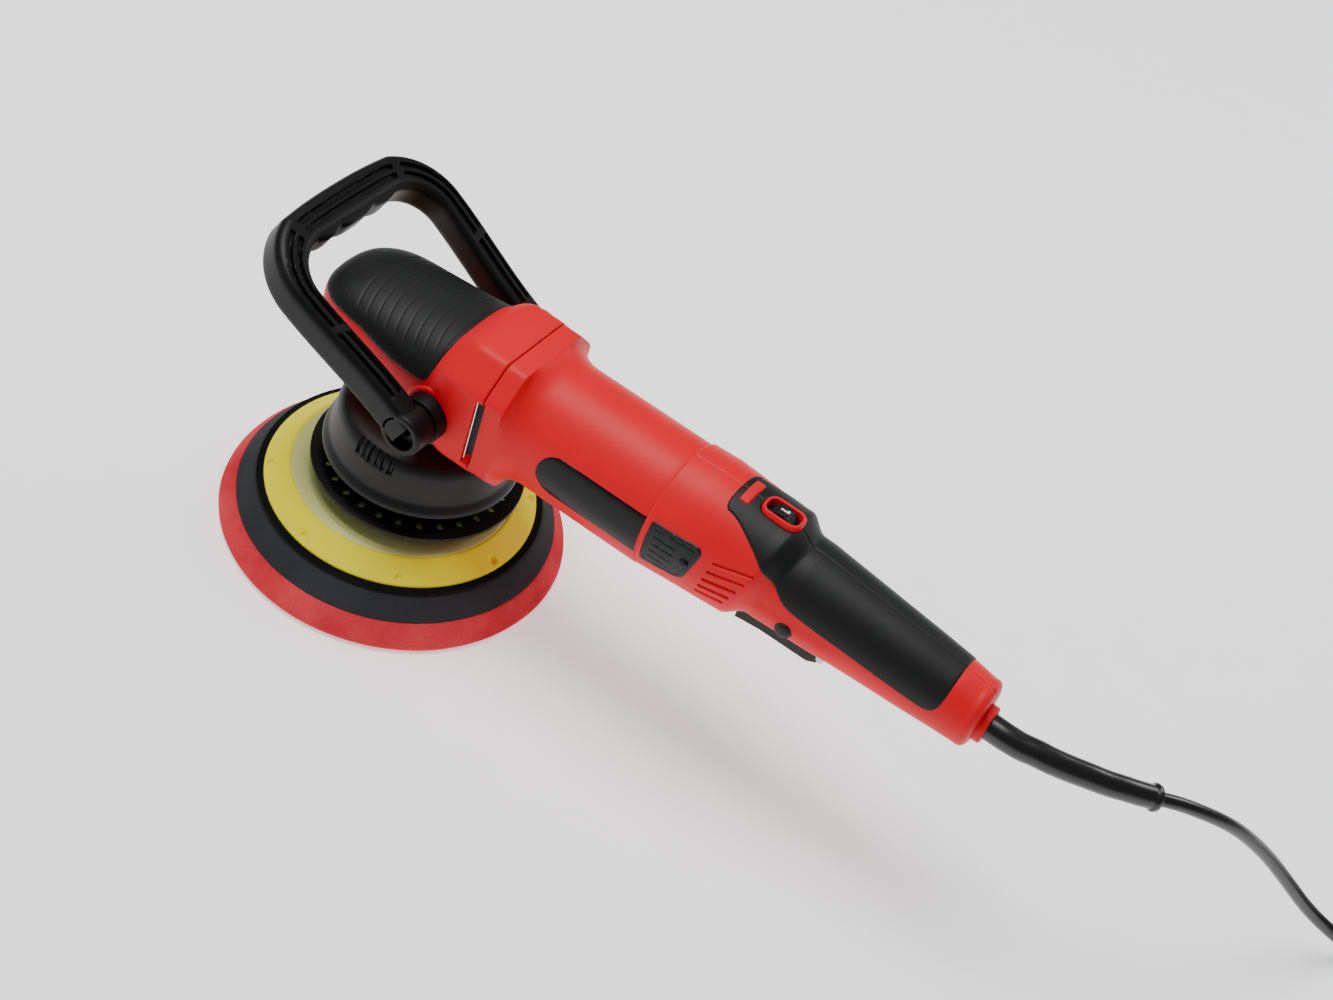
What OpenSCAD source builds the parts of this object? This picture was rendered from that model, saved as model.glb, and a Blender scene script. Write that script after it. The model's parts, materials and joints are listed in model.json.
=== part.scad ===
// Dual action polisher, modelled piece by piece.
// Frame: Z up, pad face on z = 0, drive spindle on the Z axis, motor and handle along +X.

/* [Pad] */
// Radius of the polishing pad at its working face
pad_r = 97; // [90:1:97]
// Radius of the backing plate under its foam
plate_r = 75; // [73:0.5:76]
// Distance between the drive spindle and the pad axis
orbit = 6; // [3:0.5:6.5]
// Direction of the pad axis from the spindle at rest, in degrees
orbit_angle = 216; // [0:1:359]
// Number of holes in the balance disc
disc_holes = 28; // [12:1:30]

/* [Motor] */
// Height of the motor axis above the pad face
axis_z = 131; // [130.5:0.5:131.5]
// Outer radius of the motor housing tube
tube_r = 35.5; // [35.2:0.1:36]
// Radius of the armature core
core_r = 17; // [14:0.5:17]
// Teeth on the pinion
pinion_teeth = 12; // [12:12:12]
// Teeth on the crown gear
crown_teeth = 36; // [36:36:36]

/* [Handles] */
// Tilt of the front handle above level, in degrees
bail_tilt = 26.4; // [20:0.1:30]
// Half of the clear width between the front handle's legs
bail_half_gap = 47.3; // [46.5:0.1:50]
// Distance from the handle's pivot to the outer face of its bar
bail_reach = 124.3; // [122:0.1:130]
// Thickness of the front handle across its plane
bail_thick = 20; // [16:0.1:20]
// Pitch of the finger scallops on the handle bar
finger_pitch = 18; // [16:0.5:20]

/* [Cord] */
// Diameter of the mains cord
cord_d = 7.6; // [6.5:0.1:8]
// Middle diameter of the stored coil
coil_mid_d = 90; // [84:1:96]

/* [Hidden] */
$fn = 96;
e = 0.05;                        // gap between pieces that touch
fit = 0.03;                      // radial clearance of a running fit
seam_x = 48.5;                   // head to motor housing
rear_x = 148;                    // motor housing to rear shells
flange_half = 40;                // half size of the octagonal flange
flange_45 = 45.3;                // its half size across the corners
bail_x = 19.6;                   // pivot of the front handle
bail_z = 124.5;
pivot = [252, 0, 112];           // trigger pivot
lock_at = [231.5, -22, 126.5];     // middle of the lock button's outer face
dial_at = [202, 0, 160.5];       // centre of the speed dial
clamp_z = 125.5;                 // height of the cord where it leaves the housing
brush_x = 165;                   // station of the carbon brushes
pad_at = orbit * [cos(orbit_angle), sin(orbit_angle), 0];

// Local Z laid along +X at the height of the motor axis
module along_x(z = axis_z) translate([0, 0, z]) rotate([0, 90, 0]) children();
// Local Z laid along -Y
module along_y(p) translate(p) rotate([90, 0, 0]) children();
// Tube between two stations of Z
module ring(ro, ri, z0, z1) translate([0, 0, z0]) difference() {
    cylinder(r = ro, h = z1 - z0);
    translate([0, 0, -1]) cylinder(r = ri, h = z1 - z0 + 2);
}
// Box from its lowest corner to its highest corner
module span(lo, hi) translate(lo) cube(hi - lo);
// Sealed ball bearing seen as one ring with recessed shields
module bearing(ro, ri, z0, z1) {
    w = 0.3 * (ro - ri);
    rotate_extrude() polygon([
        [ri, z0], [ri + w, z0], [ri + w, z0 + 0.5], [ro - w, z0 + 0.5], [ro - w, z0], [ro, z0],
        [ro, z1], [ro - w, z1], [ro - w, z1 - 0.5], [ri + w, z1 - 0.5], [ri + w, z1], [ri, z1]
    ]);
}
// Socket head screw, head up, tip at z = -len
module socket_screw(r, len) difference() {
    union() {
        translate([0, 0, -len]) cylinder(r = r, h = len + 0.01);
        cylinder(r = 1.7 * r, h = 2 * r);
    }
    translate([0, 0, 0.8 * r]) cylinder(r = 0.95 * r, h = 2 * r, $fn = 6);
}

// ---------------------------------------------------------------- head
// One rounded slice of the head: station, half width, bottom, top, corner radius
HEAD = [[-70.5, 12, 124, 143, 9], [-60, 25, 106, 152, 18], [-40, 33, 97, 156, 24],
        [-10, 36.5, 93, 158, 26], [16, 37.5, 91.2, 161, 25]];
FLARE = [[16, 37.5, 91.2, 161, 25], [33, 39.8, 91.2, 171, 17], [seam_x - 0.2, 40, 91.2, 171, 17]];

module head_slices(list, d) hull() for (s = list, a = [-1, 1], b = [0, 1])
    translate([s[0] == HEAD[0][0] ? s[0] + d : s[0], a * (s[1] - s[4]),
               b == 0 ? s[2] + s[4] : s[3] - s[4]])
        rotate([0, 90, 0]) cylinder(r = s[4] - d, h = 0.2, $fn = 32);
module head_solid(d) { head_slices(HEAD, d); head_slices(FLARE, d); }
// Side view of the space under the rubber grip
module grip_region(d = 0) along_y([0, 60, 0]) linear_extrude(120) polygon([
    [-80, 143 - d], [-60, 143.5 - d], [-37, 144.5 - d], [-23, 141.5 - d], [-11, 139.5 - d],
    [6, 139.5 - d], [11 + d, 141.5 - d], [14 + d, 147], [15.5 + d, 190], [-80, 190]
]);
module head_cover() color("crimson") difference() {
    head_solid(0);
    head_solid(5.6);
    intersection() {
        difference() { head_solid(-1); head_solid(2.6); }
        grip_region(e);
    }
    span([40, -34, 94], [60, 34, 168]);
    for (a = [-1, 1]) span([44, a == 1 ? 30 : -45, 110.5], [50, a == 1 ? 45 : -30, 153]);
    cylinder(r = 36, h = 102);
    case_form(0.15);
    along_y([bail_x, 50, bail_z]) cylinder(r = 14.2, h = 100);
}
module head_grip() color("#1c1c1e") intersection() {
    difference() { head_solid(0); head_solid(2.5); }
    grip_region();
}

// ---------------------------------------------------------------- gear case
module octagon(half, across) intersection() {
    square(2 * half, center = true);
    rotate(45) square(2 * across, center = true);
}
// Outer form of the gear case round the crown gear, grown by d
module case_form(d = 0) rotate_extrude() polygon([
    [0, 91.2 - d], [26 + d, 91.2 - d], [31.2 + d, 104], [31.2 + d, 138], [24 + d, 148 + d], [0, 148 + d]
]);
module gear_case() color("silver") difference() {
    union() {
        case_form();
        translate([0, 0, 82]) cylinder(r = 24, h = 10);
        along_x() translate([0, 0, 18]) cylinder(r = 22, h = 22);
        along_x() translate([0, 0, 38]) linear_extrude(seam_x - 38.1) octagon(33.8, 40);
        along_y([bail_x, 41.2, bail_z]) cylinder(r = 12, h = 82.4);
    }
    difference() {
        translate([0, 0, 104]) cylinder(r = 28.2, h = 32);
        translate([0, 0, 129]) cylinder(r = 11, h = 20);
    }
    translate([0, 0, 103]) cylinder(r = 12, h = 4);
    translate([0, 0, 80]) cylinder(r = 18.02, h = 16);
    translate([0, 0, 95]) cylinder(r = 12, h = 10);
    translate([0, 0, 128]) cylinder(r = 9.02, h = 14.2);
    along_x() translate([0, 0, 20]) cylinder(r = 10.4, h = 20);
    along_x() translate([0, 0, 38]) cylinder(r = 14.02, h = 12);
    for (a = [-1, 1]) along_y([bail_x, a == 1 ? 50 : -30.2, bail_z]) cylinder(r = 4.02, h = 19.8);
    for (a = [0:3]) along_x() rotate(45 + 90 * a) translate([34, 0, 36]) cylinder(r = 2.52, h = 20);
}
module gear_case_screws() color("dimgray") for (a = [0:3])
    along_x() rotate(45 + 90 * a) translate([34, 0, 37.9]) rotate([180, 0, 0]) socket_screw(2.5, 20);
// Bell over the counterweight, open below
module shroud() color("#202022") rotate_extrude() polygon([
    [54.6, 60.3], [54.6, 62.4], [53.2, 64.8], [51.6, 67], [50.6, 76], [49.3, 85], [46.4, 89.2], [41, 90.8],
    [36, 91.1], [24.1, 91.1], [24.1, 88.5], [36, 88.4], [41, 88], [44, 86], [46.5, 83], [48, 76],
    [49.4, 67], [51, 64], [52.2, 61.6], [52.2, 60.3]
]);
module spindle_upper_bearing() color("gray") bearing(9, 6 + fit, 130, 142);
module spindle_lower_bearing() color("gray") bearing(18, 8 + fit, 83, 95);
module front_bearing() color("gray") along_x() bearing(14, 6 + fit, 38.7, 47.7);
module rear_bearing() color("gray") along_x() bearing(11, 5 + fit, 183, 191);

// ---------------------------------------------------------------- motor housing
module motor_housing() color("crimson") difference() {
    union() {
        along_x() translate([0, 0, seam_x]) linear_extrude(12) octagon(flange_half, flange_45);
        intersection() {
            along_x() translate([0, 0, seam_x + 1]) linear_extrude(40) octagon(flange_half, flange_45);
            along_x() rotate_extrude() polygon(concat([[20, 60.4]],
                [for (a = [0:15:90]) [tube_r + 8.5 * (1 - sin(a)), 75 - 14.6 * cos(a)]], [[20, 75]]));
        }
        along_x() translate([0, 0, 60]) cylinder(r = tube_r, h = rear_x - 60.1);
    }
    along_x() translate([0, 0, seam_x - 1]) cylinder(r = 32.5, h = 120);
    for (a = [0:3]) along_x() rotate(45 + 90 * a) translate([34, 0, 40]) cylinder(r = 2.52, h = 18.2);
    for (a = [-1, 1]) label_solid(a, 0.1);
}
module stator_core() color("slategray") along_x() ring(32.45, 17.8, 84, 140);
module stator_windings() color("peru") along_x() { ring(30, 20, 74, 83.9); ring(30, 20, 140.1, 147.5); }
// Curved plate let into the side of the tube, rounded at the front end
module label_solid(side, grow = 0) intersection() {
    along_x() ring(tube_r + (grow > 0 ? 2 : 0.1), tube_r - 0.9 - grow / 2, 70, rear_x - 1);
    along_y([0, side == 1 ? 50 : 0, 0]) linear_extrude(50) union() {
        translate([96.3, 133.4]) circle(r = 12 + grow);
        translate([96.3, 121.4 - grow]) square([50 + grow, 24 + 2 * grow]);
    }
}
module label_left() color("#1a1a1c") label_solid(-1);
module label_right() color("#1a1a1c") label_solid(1);

// ---------------------------------------------------------------- rear shells and handle
BODY = [[147, 35.8], [160, 35.8], [175, 34.9], [190, 34], [203, 32.9], [209, 31.8], [214, 29.3],
        [217, 26.5], [219, 20]];
HANDLE = [[-4, 26.2], [8, 25.4], [101, 19.9], [112, 19], [116, 17], [118, 13]];
// Outer form of the rear housing, drawn in by d
module rear_solid(d = 0) {
    translate([0, 0, 133.4]) rotate([0, 90, 0]) rotate_extrude() polygon(concat([[0, 147.1 - d]],
        [for (p = BODY) [max(p[1] - d, 0), p[0] == 147 ? rear_x - d : p[0] - d / 2]], [[0, 219 - d / 2]]));
    translate([216, 0, 133.6]) rotate([0, 92.4, 0]) rotate_extrude() polygon(concat([[0, -4]],
        [for (p = HANDLE) [max(p[1] - d, 0), p[0] - (p[0] > 90 ? d : 0)]], [[0, 118 - d]]));
}
module rubber_region(d = 0) along_y([0, 60, 0]) linear_extrude(120) polygon([
    [174 - d, 166 - d], [190, 162 - d], [203, 160 - d], [210, 155 - d], [214, 150 - d],
    [223, 138 - d], [270, 132.5 - d], [309, 126 - d], [317 + d, 130], [319 + d, 180], [174 - d, 180]
]);
module cover_prism(grow = 0) linear_extrude(60) polygon([
    [151.5 - grow, 120 - grow], [172 + grow, 122.6 - grow], [176 + grow, 125], [181 + grow, 144.5],
    [178, 147.8 + grow], [151.5 - grow, 146.3 + grow]
]);
module cover_solid(side, grow = 0) intersection() {
    difference() { rear_solid(grow > 0 ? -2 : -0.3); rear_solid(2.2 + grow / 2); }
    along_y([0, side == 1 ? 60 : 0, 0]) cover_prism(grow);
}
module rear_shell(side) difference() {
    union() {
        difference() {
            rear_solid();
            rear_solid(4.8);
            span([147, -40, 90], [rear_x + 2, 40, 180]);
        }
        difference() {
            rear_solid();
            rear_solid(2.8);
            span([152.1, -60, 90], [360, 60, 180]);
        }
        intersection() { along_x() ring(40, 11.02, 183, 191.2); rear_solid(3); }
        intersection() { rear_solid(3); span([297, -20, 100], [301, 20, 150]); }
        along_x(clamp_z) ring(10.2, 7.5, 326, 338.6);
        for (a = [-1, 1]) along_y([pivot[0], a == 1 ? 17 : -9, pivot[2]]) cylinder(r = 4.5, h = 8);
    }
    span([100, side == 1 ? -60 : -0.05, 60], [360, side == 1 ? 0.05 : 60, 200]);
    intersection() {
        difference() { rear_solid(-3); rear_solid(1.9); }
        rubber_region(e);
    }
    cover_solid(side, 0.15);
    span([199, -8.2, 80], [258, 8.2, 118]);
    along_x(clamp_z) translate([0, 0, 290]) cylinder(r = 7.5, h = 60);
    along_y([pivot[0], 20, pivot[2]]) cylinder(r = 2.02, h = 40);
    along_y([lock_at[0], -7, lock_at[2]]) cylinder(r = 5.06, h = 27);
    span([190.3, -7.6, 164.1], [213.7, 7.6, 175]);
    span([192.3, -7.7, 150], [211.7, 7.7, 165]);
    for (i = [0:4]) vent_slot(i, side);
    for (p = SCREWS) {
        along_y([p[0], 40, p[1]]) cylinder(r = 1.72, h = 53);
        along_y([p[0], 40, p[1]]) cylinder(r = 3, h = 40 - screw_y + e);
    }
}
// Slanted air slots behind the brush cover
module vent_slot(i, side) translate([183.5 + i, side == 1 ? 20 : -50, 121.5 + 5.6 * i])
    rotate([0, -12, 0]) span([0, 0, 0], [17 + 1.2 * i, 30, 2.2]);
SCREWS = [[290, 117], [284, 140.2], [312.5, 136]];
screw_y = 11.5;                  // seat of the screw heads
module rear_shell_left() color("crimson") rear_shell(-1);
module rear_shell_right() color("crimson") rear_shell(1);
module shell_screws() color("dimgray") for (p = SCREWS)
    along_y([p[0], screw_y, p[1]]) rotate([180, 0, 0]) socket_screw(1.7, 24);
module rear_grip() color("#1c1c1e") difference() {
    intersection() {
        difference() { rear_solid(-0.4); rear_solid(1.8); }
        rubber_region();
    }
    span([190.5, -7.5, 150], [214, 7.5, 180]);
}
module dial_bezel() color("crimson") difference() {
    along_z_oblong(22.8, 14.6, 164.2, 168.8);
    along_z_oblong(19.2, 10.2, 160, 172);
}
module along_z_oblong(lx, ly, z0, z1) translate([dial_at[0], 0, z0]) linear_extrude(z1 - z0) union() {
    for (a = [-1, 1], b = [-1, 1]) translate([a * (lx / 2 - 4), b * (ly / 2 - 4)]) circle(r = 4);
    square([lx - 8, ly], center = true);
    square([lx, ly - 8], center = true);
}
module speed_board() color("darkgreen") difference() {
    union() {
        span([193, -9, 146.5], [212, 9, 148.5]);
        for (y = [-7.2, 5.2]) span([198, y, 148], [206, y + 2, 163.5]);
    }
    along_y([dial_at[0], 10, dial_at[2]]) cylinder(r = 1.55, h = 20);
}
module switch_body() color("#2a2a2c") span([222, -9, 121], [276, 9, 143]);
module cord_clamp() color("#2a2a2c") difference() {
    span([302, -9, 118], [310, 9, 134]);
    along_x(clamp_z) translate([0, 0, 300]) cylinder(r = 3.9, h = 12);
}

// ---------------------------------------------------------------- brush gear
module both_sides(y0, y1) for (a = [-1, 1]) mirror([0, a == 1 ? 0 : 1, 0])
    translate([brush_x, y1, axis_z]) rotate([90, 0, 0]) linear_extrude(y1 - y0) children();
module brush_holders() color("goldenrod") both_sides(13.5, 28.9) difference() {
    square([10, 13], center = true);
    square([6.4, 9.4], center = true);
}
module carbon_brushes() color("#303034") both_sides(12.4, 23) square([6, 9], center = true);
module brush_springs() color("silver") both_sides(23.1, 28.8) difference() {
    circle(r = 2.9);
    circle(r = 2.1);
}
module brush_cover(side) difference() {
    cover_solid(side);
    along_y([174.5, side == 1 ? 50 : -25, 136]) cylinder(r = 2.6, h = 25);
}
module brush_cover_left() color("#3c3d40") brush_cover(-1);
module brush_cover_right() color("#3c3d40") brush_cover(1);
module brush_cover_screws() color("dimgray") for (a = [-1, 1])
    mirror([0, a == 1 ? 0 : 1, 0]) translate([174.5, 33.4, 136]) rotate([-90, 0, 0]) difference() {
        cylinder(r = 2.5, h = 1.4);
        translate([-2, -0.4, 0.7]) cube([4, 0.8, 1]);
    }

// ---------------------------------------------------------------- armature
module armature_shaft() color("silver") along_x() rotate_extrude() polygon([
    [0, 19], [4.6, 19], [5, 19.5], [5, 33], [6, 33], [6, 182], [5, 182], [5, 193.5], [4.5, 194], [0, 194]
]);
module armature_core() color("slategray") along_x() difference() {
    ring(core_r, 6.02, 84, 140);
    for (a = [0:30:359]) rotate(a) translate([core_r - 4.2, -1.3, 83]) cube([5, 2.6, 58]);
}
module armature_windings() color("peru") along_x() { ring(15.5, 6.3, 74, 83.9); ring(15.5, 6.3, 140.1, 151); }
module commutator() color("peru") along_x() difference() {
    ring(12, 6.02, 155, 175);
    for (a = [0:15:359]) rotate(a) translate([11, -0.3, 154]) cube([2, 0.6, 22]);
}
module fan() color("#2a2a2c") along_x() difference() {
    union() {
        ring(30, 6.02, 53, 55);
        ring(11, 6.02, 55, 63);
        for (a = [0:24:359]) rotate(a) translate([10.5, -0.8, 55 - e]) cube([19, 1.6, 8]);
    }
}
// Straight tooth, root to tip, pointing along +X of the plane
module tooth_2d(root, tip, w_root, w_tip) polygon([
    [root - 1, -w_root / 2], [root, -w_root / 2], [tip, -w_tip / 2],
    [tip, w_tip / 2], [root, w_root / 2], [root - 1, w_root / 2]
]);
module pinion() color("gainsboro") along_x() translate([0, 0, 21.6]) linear_extrude(5.4) difference() {
    union() {
        circle(r = 7);
        for (i = [0:pinion_teeth - 1]) rotate(i * 360 / pinion_teeth) tooth_2d(7, 9.2, 2, 1.1);
    }
    circle(r = 5.02);
}

// ---------------------------------------------------------------- drive spindle
module spindle() color("silver") rotate_extrude() polygon([
    [0, 71], [8, 71], [8, 123], [6, 124], [6, 141.5], [5.5, 142], [0, 142]
]);
module crown_gear() color("gainsboro") difference() {
    union() {
        ring(27.3, 8.02, 111, 123);
    }
    difference() {
        translate([0, 0, 118]) cylinder(r = 20.5, h = 6);
        translate([0, 0, 117]) cylinder(r = 12, h = 5);
    }
    for (i = [0:crown_teeth - 1]) rotate(i * 360 / crown_teeth)
        translate([19, -1.35, 120.4]) cube([10, 2.7, 4]);
}
module counterweight() color("gray") difference() {
    union() {
        translate(pad_at) translate([0, 0, 52]) rotate(30) cylinder(r = 20, h = 18);
        translate([0, 0, 60]) rotate(70) cylinder(r = 12.5, h = 20);
        intersection() {
            translate([0, 0, 56]) rotate(orbit_angle) cylinder(r = 44, h = 9);
            rotate(orbit_angle + 180) translate([5, -50, 50]) cube([50, 100, 30]);
        }
    }
    translate([pad_at[0], pad_at[1], 51]) rotate(30) cylinder(r = 16.02, h = 13);
    translate([0, 0, 70.9]) rotate(70) cylinder(r = 8.02, h = 12);
}
module balance_disc() color("#202022") difference() {
    union() {
        ring(59.2, 27.5, 47.4, 49.4);
        ring(31, 27.5, 49, 56 - e);
    }
    for (i = [0:disc_holes - 1]) rotate(i * 360 / disc_holes)
        translate([50.2, 0, 46]) cylinder(r = 2.1, h = 5, $fn = 32);
}
module pad_bearing() color("gray") translate(pad_at) bearing(16, 8 + fit, 52.2, 63.9);

// ---------------------------------------------------------------- pad
module on_pad() translate(pad_at) children();
module pad_spindle() color("silver") on_pad() rotate_extrude() polygon([
    [0, 31], [4, 31], [4, 37.6], [15, 37.6], [15, 42], [11, 44], [11, 51.6], [8, 51.6], [8, 63],
    [7.5, 63.5], [0, 63.5]
]);
module backing_plate() color("#dde2a0") on_pad() difference() {
    translate([0, 0, 31]) cylinder(r = 62, h = 6.5);
    translate([0, 0, 30]) cylinder(r = 4.02, h = 10);
}
module backing_foam() color("#f6e800") on_pad() rotate_extrude() polygon([
    [0, 28], [plate_r, 28], [plate_r - 0.6, 29.4], [63, 37.4], [62.1, 37.4], [62.1, 30.9], [0, 30.9]
]);
module hook_layer() color("#17171a") on_pad() translate([0, 0, 26]) cylinder(r = plate_r + 4.8, h = 1.95);
module pad_foam_base() color("#3a3b3f") on_pad() rotate_extrude() polygon([
    [0, 14.5], [89.3, 14.5], [79.4, 25.95], [0, 25.95]
]);
module pad_foam() color("#e0454a") on_pad() rotate_extrude() polygon([
    [0, 0], [pad_r - 1.4, 0], [pad_r, 2], [pad_r - 0.4, 5], [89.6, 14.45], [0, 14.45]
]);

// ---------------------------------------------------------------- front handle
// The handle's own plane: local X across, local Y along the reach
module bail_frame() translate([bail_x, 0, bail_z]) rotate([0, bail_tilt, 0]) rotate([0, 0, 90]) children();
module rounded_arch(half, top, r) union() {
    translate([-half, 0]) square([2 * half, top - r]);
    translate([-half + r, 0]) square([2 * half - 2 * r, top]);
    for (a = [-1, 1]) translate([a * (half - r), top - r]) circle(r = r);
}
module bail_handle() color("#26272a") difference() {
    bail_frame() difference() {
        union() {
            translate([0, 0, -bail_thick / 2]) linear_extrude(bail_thick) difference() {
                intersection() {
                    rounded_arch(bail_half_gap + 15.4, bail_reach, 37.6);
                    translate([0, bail_reach - 330]) circle(r = 330, $fn = 180);
                }
                translate([0, -1]) rounded_arch(bail_half_gap, bail_reach - 20.7, 22.8);
                for (i = [-2:2]) translate([i * finger_pitch, bail_reach - 28.5]) circle(r = 10.6);
            }
            for (a = [-1, 1]) translate([a * (bail_half_gap + 7.7), 0, 0]) rotate([0, 90, 0])
                cylinder(r = 12, h = 15.4, center = true);
            for (a = [-1, 1]) translate([a * (bail_half_gap - 2.8), 0, 0]) rotate([0, 90, 0])
                cylinder(r = 11.4, h = 6, center = true);
        }
        for (a = [-1, 1]) translate([a * 57, 0, 0]) rotate([0, 90, 0]) cylinder(r = 8.5, h = 12, center = true);
        for (a = [-1, 1]) translate([a * 47, 0, 0]) rotate([0, 90, 0]) cylinder(r = 4.25, h = 20, center = true);
    }
}
module bail_bolts() color("#4a4a4e") for (a = [-1, 1]) mirror([0, a == 1 ? 1 : 0, 0])
    along_y([bail_x, -51.05, bail_z]) difference() {
        union() {
            translate([0, 0, -20]) cylinder(r = 3.95, h = 20.1);
            cylinder(r = 7.2, h = 6);
        }
        translate([0, 0, 2.5]) cylinder(r = 3.5, h = 6, $fn = 6);
    }

// ---------------------------------------------------------------- controls
module trigger() color("#1c1c1e") difference() {
    along_y([0, 7.5, 0]) linear_extrude(15) polygon([
        [201, 96], [206, 96.8], [216, 98], [244, 98.4], [249, 101], [253, 107],
        [256, 112], [254, 115.5], [247, 116], [205, 110], [201, 104.5]
    ]);
    along_y([pivot[0], 20, pivot[2]]) cylinder(r = 2.05, h = 40);
}
module trigger_pin() color("silver") along_y([pivot[0], 15, pivot[2]]) cylinder(r = 2, h = 30);
// Coil spring seen as one waisted sleeve
module spring_sleeve(r, len, turns) rotate_extrude() polygon(concat([[r - 0.8, 0]],
    [for (i = [0:2 * turns]) [r - (i % 2) * 0.5, len * i / (2 * turns)]], [[r - 0.8, len]]));
module trigger_spring() color("silver") translate([226, 0, 113.8]) spring_sleeve(3, 7.1, 5);
module lock_spring() color("silver") along_y([lock_at[0], -9.2, lock_at[2]]) spring_sleeve(2.4, 8.4, 6);
module lock_button() color("#1c1c1e") along_y([lock_at[0], -14, lock_at[2]]) rotate_extrude() polygon([
    [2.7, 0], [5, 0], [5, 11.5], [4.4, 12.7], [2.6, 13.6], [0, 13.9], [0, 7.2], [2.7, 7.2]
]);
module speed_dial() color("#1c1c1e") along_y([dial_at[0], 4, dial_at[2]]) difference() {
    union() {
        cylinder(r = 9, h = 8);
        translate([0, 0, -3.1]) cylinder(r = 1.5, h = 14.2);
    }
    for (a = [0:15:359]) rotate(a) translate([9.2, 0, -1]) cylinder(r = 0.6, h = 11, $fn = 24);
}

// ---------------------------------------------------------------- cord
// Middle line of the sleeve, then of the free cord to the coil
SLEEVE = [[331, 0, 125.5], [339, 0, 125.5], [348, 0, 125.5], [356, 1, 125], [364, 3, 125],
          [372, 5, 124.5], [381, 8.5, 123.5], [390, 12.5, 122.5], [399, 17, 121], [407, 21.5, 120],
          [415, 26.5, 118.5], [423, 32, 117]];
ROUTE = [[423, 32, 117], [434, 40, 114.5], [445, 48.5, 110], [456, 58, 103.5], [466, 67.5, 95],
         [476, 77, 84.5], [486, 86, 73], [496, 94, 61], [506, 101.5, 49], [516, 108.5, 37.5],
         [527, 115.5, 27], [539, 122, 18], [552, 127.5, 10.5], [566, 132, 6], [581, 135, 4],
         [596, 136.5, 3.9], [611, 137, 3.9]];
function unit(v) = v / norm(v);
function tangent(p, i) = unit(p[min(i + 1, len(p) - 1)] - p[max(i - 1, 0)]);
function side_of(t) = unit(cross([0, 0, 1], t));
function loop_of(c, t, r, n) = let (u = side_of(t), v = cross(t, u))
    [for (k = [0:n - 1]) c + r * (cos(360 * k / n) * u + sin(360 * k / n) * v)];
// Round tube swept along the points p, with the radius given for each
module tube(p, radii, n) {
    m = len(p);
    polyhedron(
        points = [for (i = [0:m - 1], q = loop_of(p[i], tangent(p, i), radii[i], n)) q],
        faces = concat(
            [[for (k = [0:n - 1]) n - 1 - k]],
            [for (i = [0:m - 2], k = [0:n - 1]) [i * n + k, i * n + (k + 1) % n, (i + 1) * n + k]],
            [for (i = [0:m - 2], k = [0:n - 1])
                [i * n + (k + 1) % n, (i + 1) * n + (k + 1) % n, (i + 1) * n + k]],
            [[for (k = [0:n - 1]) (m - 1) * n + k]]));
}
module cord_sleeve() color("#17171a")
    tube(SLEEVE, [for (i = [0:len(SLEEVE) - 1]) 7.3 - 0.1 * i], 12);
module cord() color("#17171a") tube(ROUTE, [for (p = ROUTE) cord_d / 2], 10);
coil_h = 3 * cord_d;             // three layers of turns
coil_w = (8 / 3 + 1) * cord_d;   // each layer is a spiral of two and two thirds turns
coil_out = coil_mid_d / 2 + 4 / 3 * cord_d;
coil_at = [611, 137 + coil_out, 0];
module cord_coil() color("#17171a") translate(coil_at)
    ring((coil_mid_d + coil_w) / 2, (coil_mid_d - coil_w) / 2, 0, coil_h);
// Strap round the bundle of turns, open on the floor side
module coil_tie() color("#303034") translate(coil_at) translate([0, coil_mid_d / 2, 0])
    difference() {
        span([-6, -coil_w / 2 - 2.3, 0], [6, coil_w / 2 + 1.6, coil_h + 1.6]);
        span([-7, -coil_w / 2 - 0.7, -1], [7, coil_w / 2 + 0.2, coil_h + 0.1]);
    }
// Two-blade plug lying on the coil, its cord end over the end of the inner turn
module plug() color("#17171a")
    translate([coil_at[0], coil_at[1] - coil_mid_d / 2 + 4 / 3 * cord_d, coil_h + 0.1]) {
        span([0, -11, 0], [31, 11, 13.4]);
        for (a = [-1, 1]) span([31 - e, a * 6.35 - 0.8, 3.5], [48, a * 6.35 + 0.8, 9.9]);
    }

head_cover();
head_grip();
gear_case();
gear_case_screws();
shroud();
spindle_upper_bearing();
spindle_lower_bearing();
front_bearing();
rear_bearing();
motor_housing();
stator_core();
stator_windings();
rear_shell_left();
rear_shell_right();
shell_screws();
rear_grip();
dial_bezel();
speed_board();
switch_body();
cord_clamp();
brush_holders();
carbon_brushes();
brush_springs();
brush_cover_left();
brush_cover_right();
brush_cover_screws();
label_left();
label_right();
trigger_pin();
trigger_spring();
lock_spring();
cord_sleeve();
cord();
cord_coil();
coil_tie();
plug();
armature_shaft();
armature_core();
armature_windings();
commutator();
fan();
pinion();
spindle();
crown_gear();
counterweight();
balance_disc();
pad_bearing();
pad_spindle();
backing_plate();
backing_foam();
hook_layer();
pad_foam_base();
pad_foam();
bail_handle();
bail_bolts();
trigger();
lock_button();
speed_dial();
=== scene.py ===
"""Looks of the dual action polisher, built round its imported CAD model.

Sizes are in millimetres inside the builders and are turned to metres where a mesh is made.
The drive spindle is the Z axis, the pad face lies on z = 0 and the handle points along +X.
"""

import json
import logging
import math
from dataclasses import dataclass
from enum import Enum
from typing import Callable, Dict, List, Optional, Sequence, Tuple

import bmesh
import bpy
import numpy as np
from mathutils import Matrix, Vector


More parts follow.
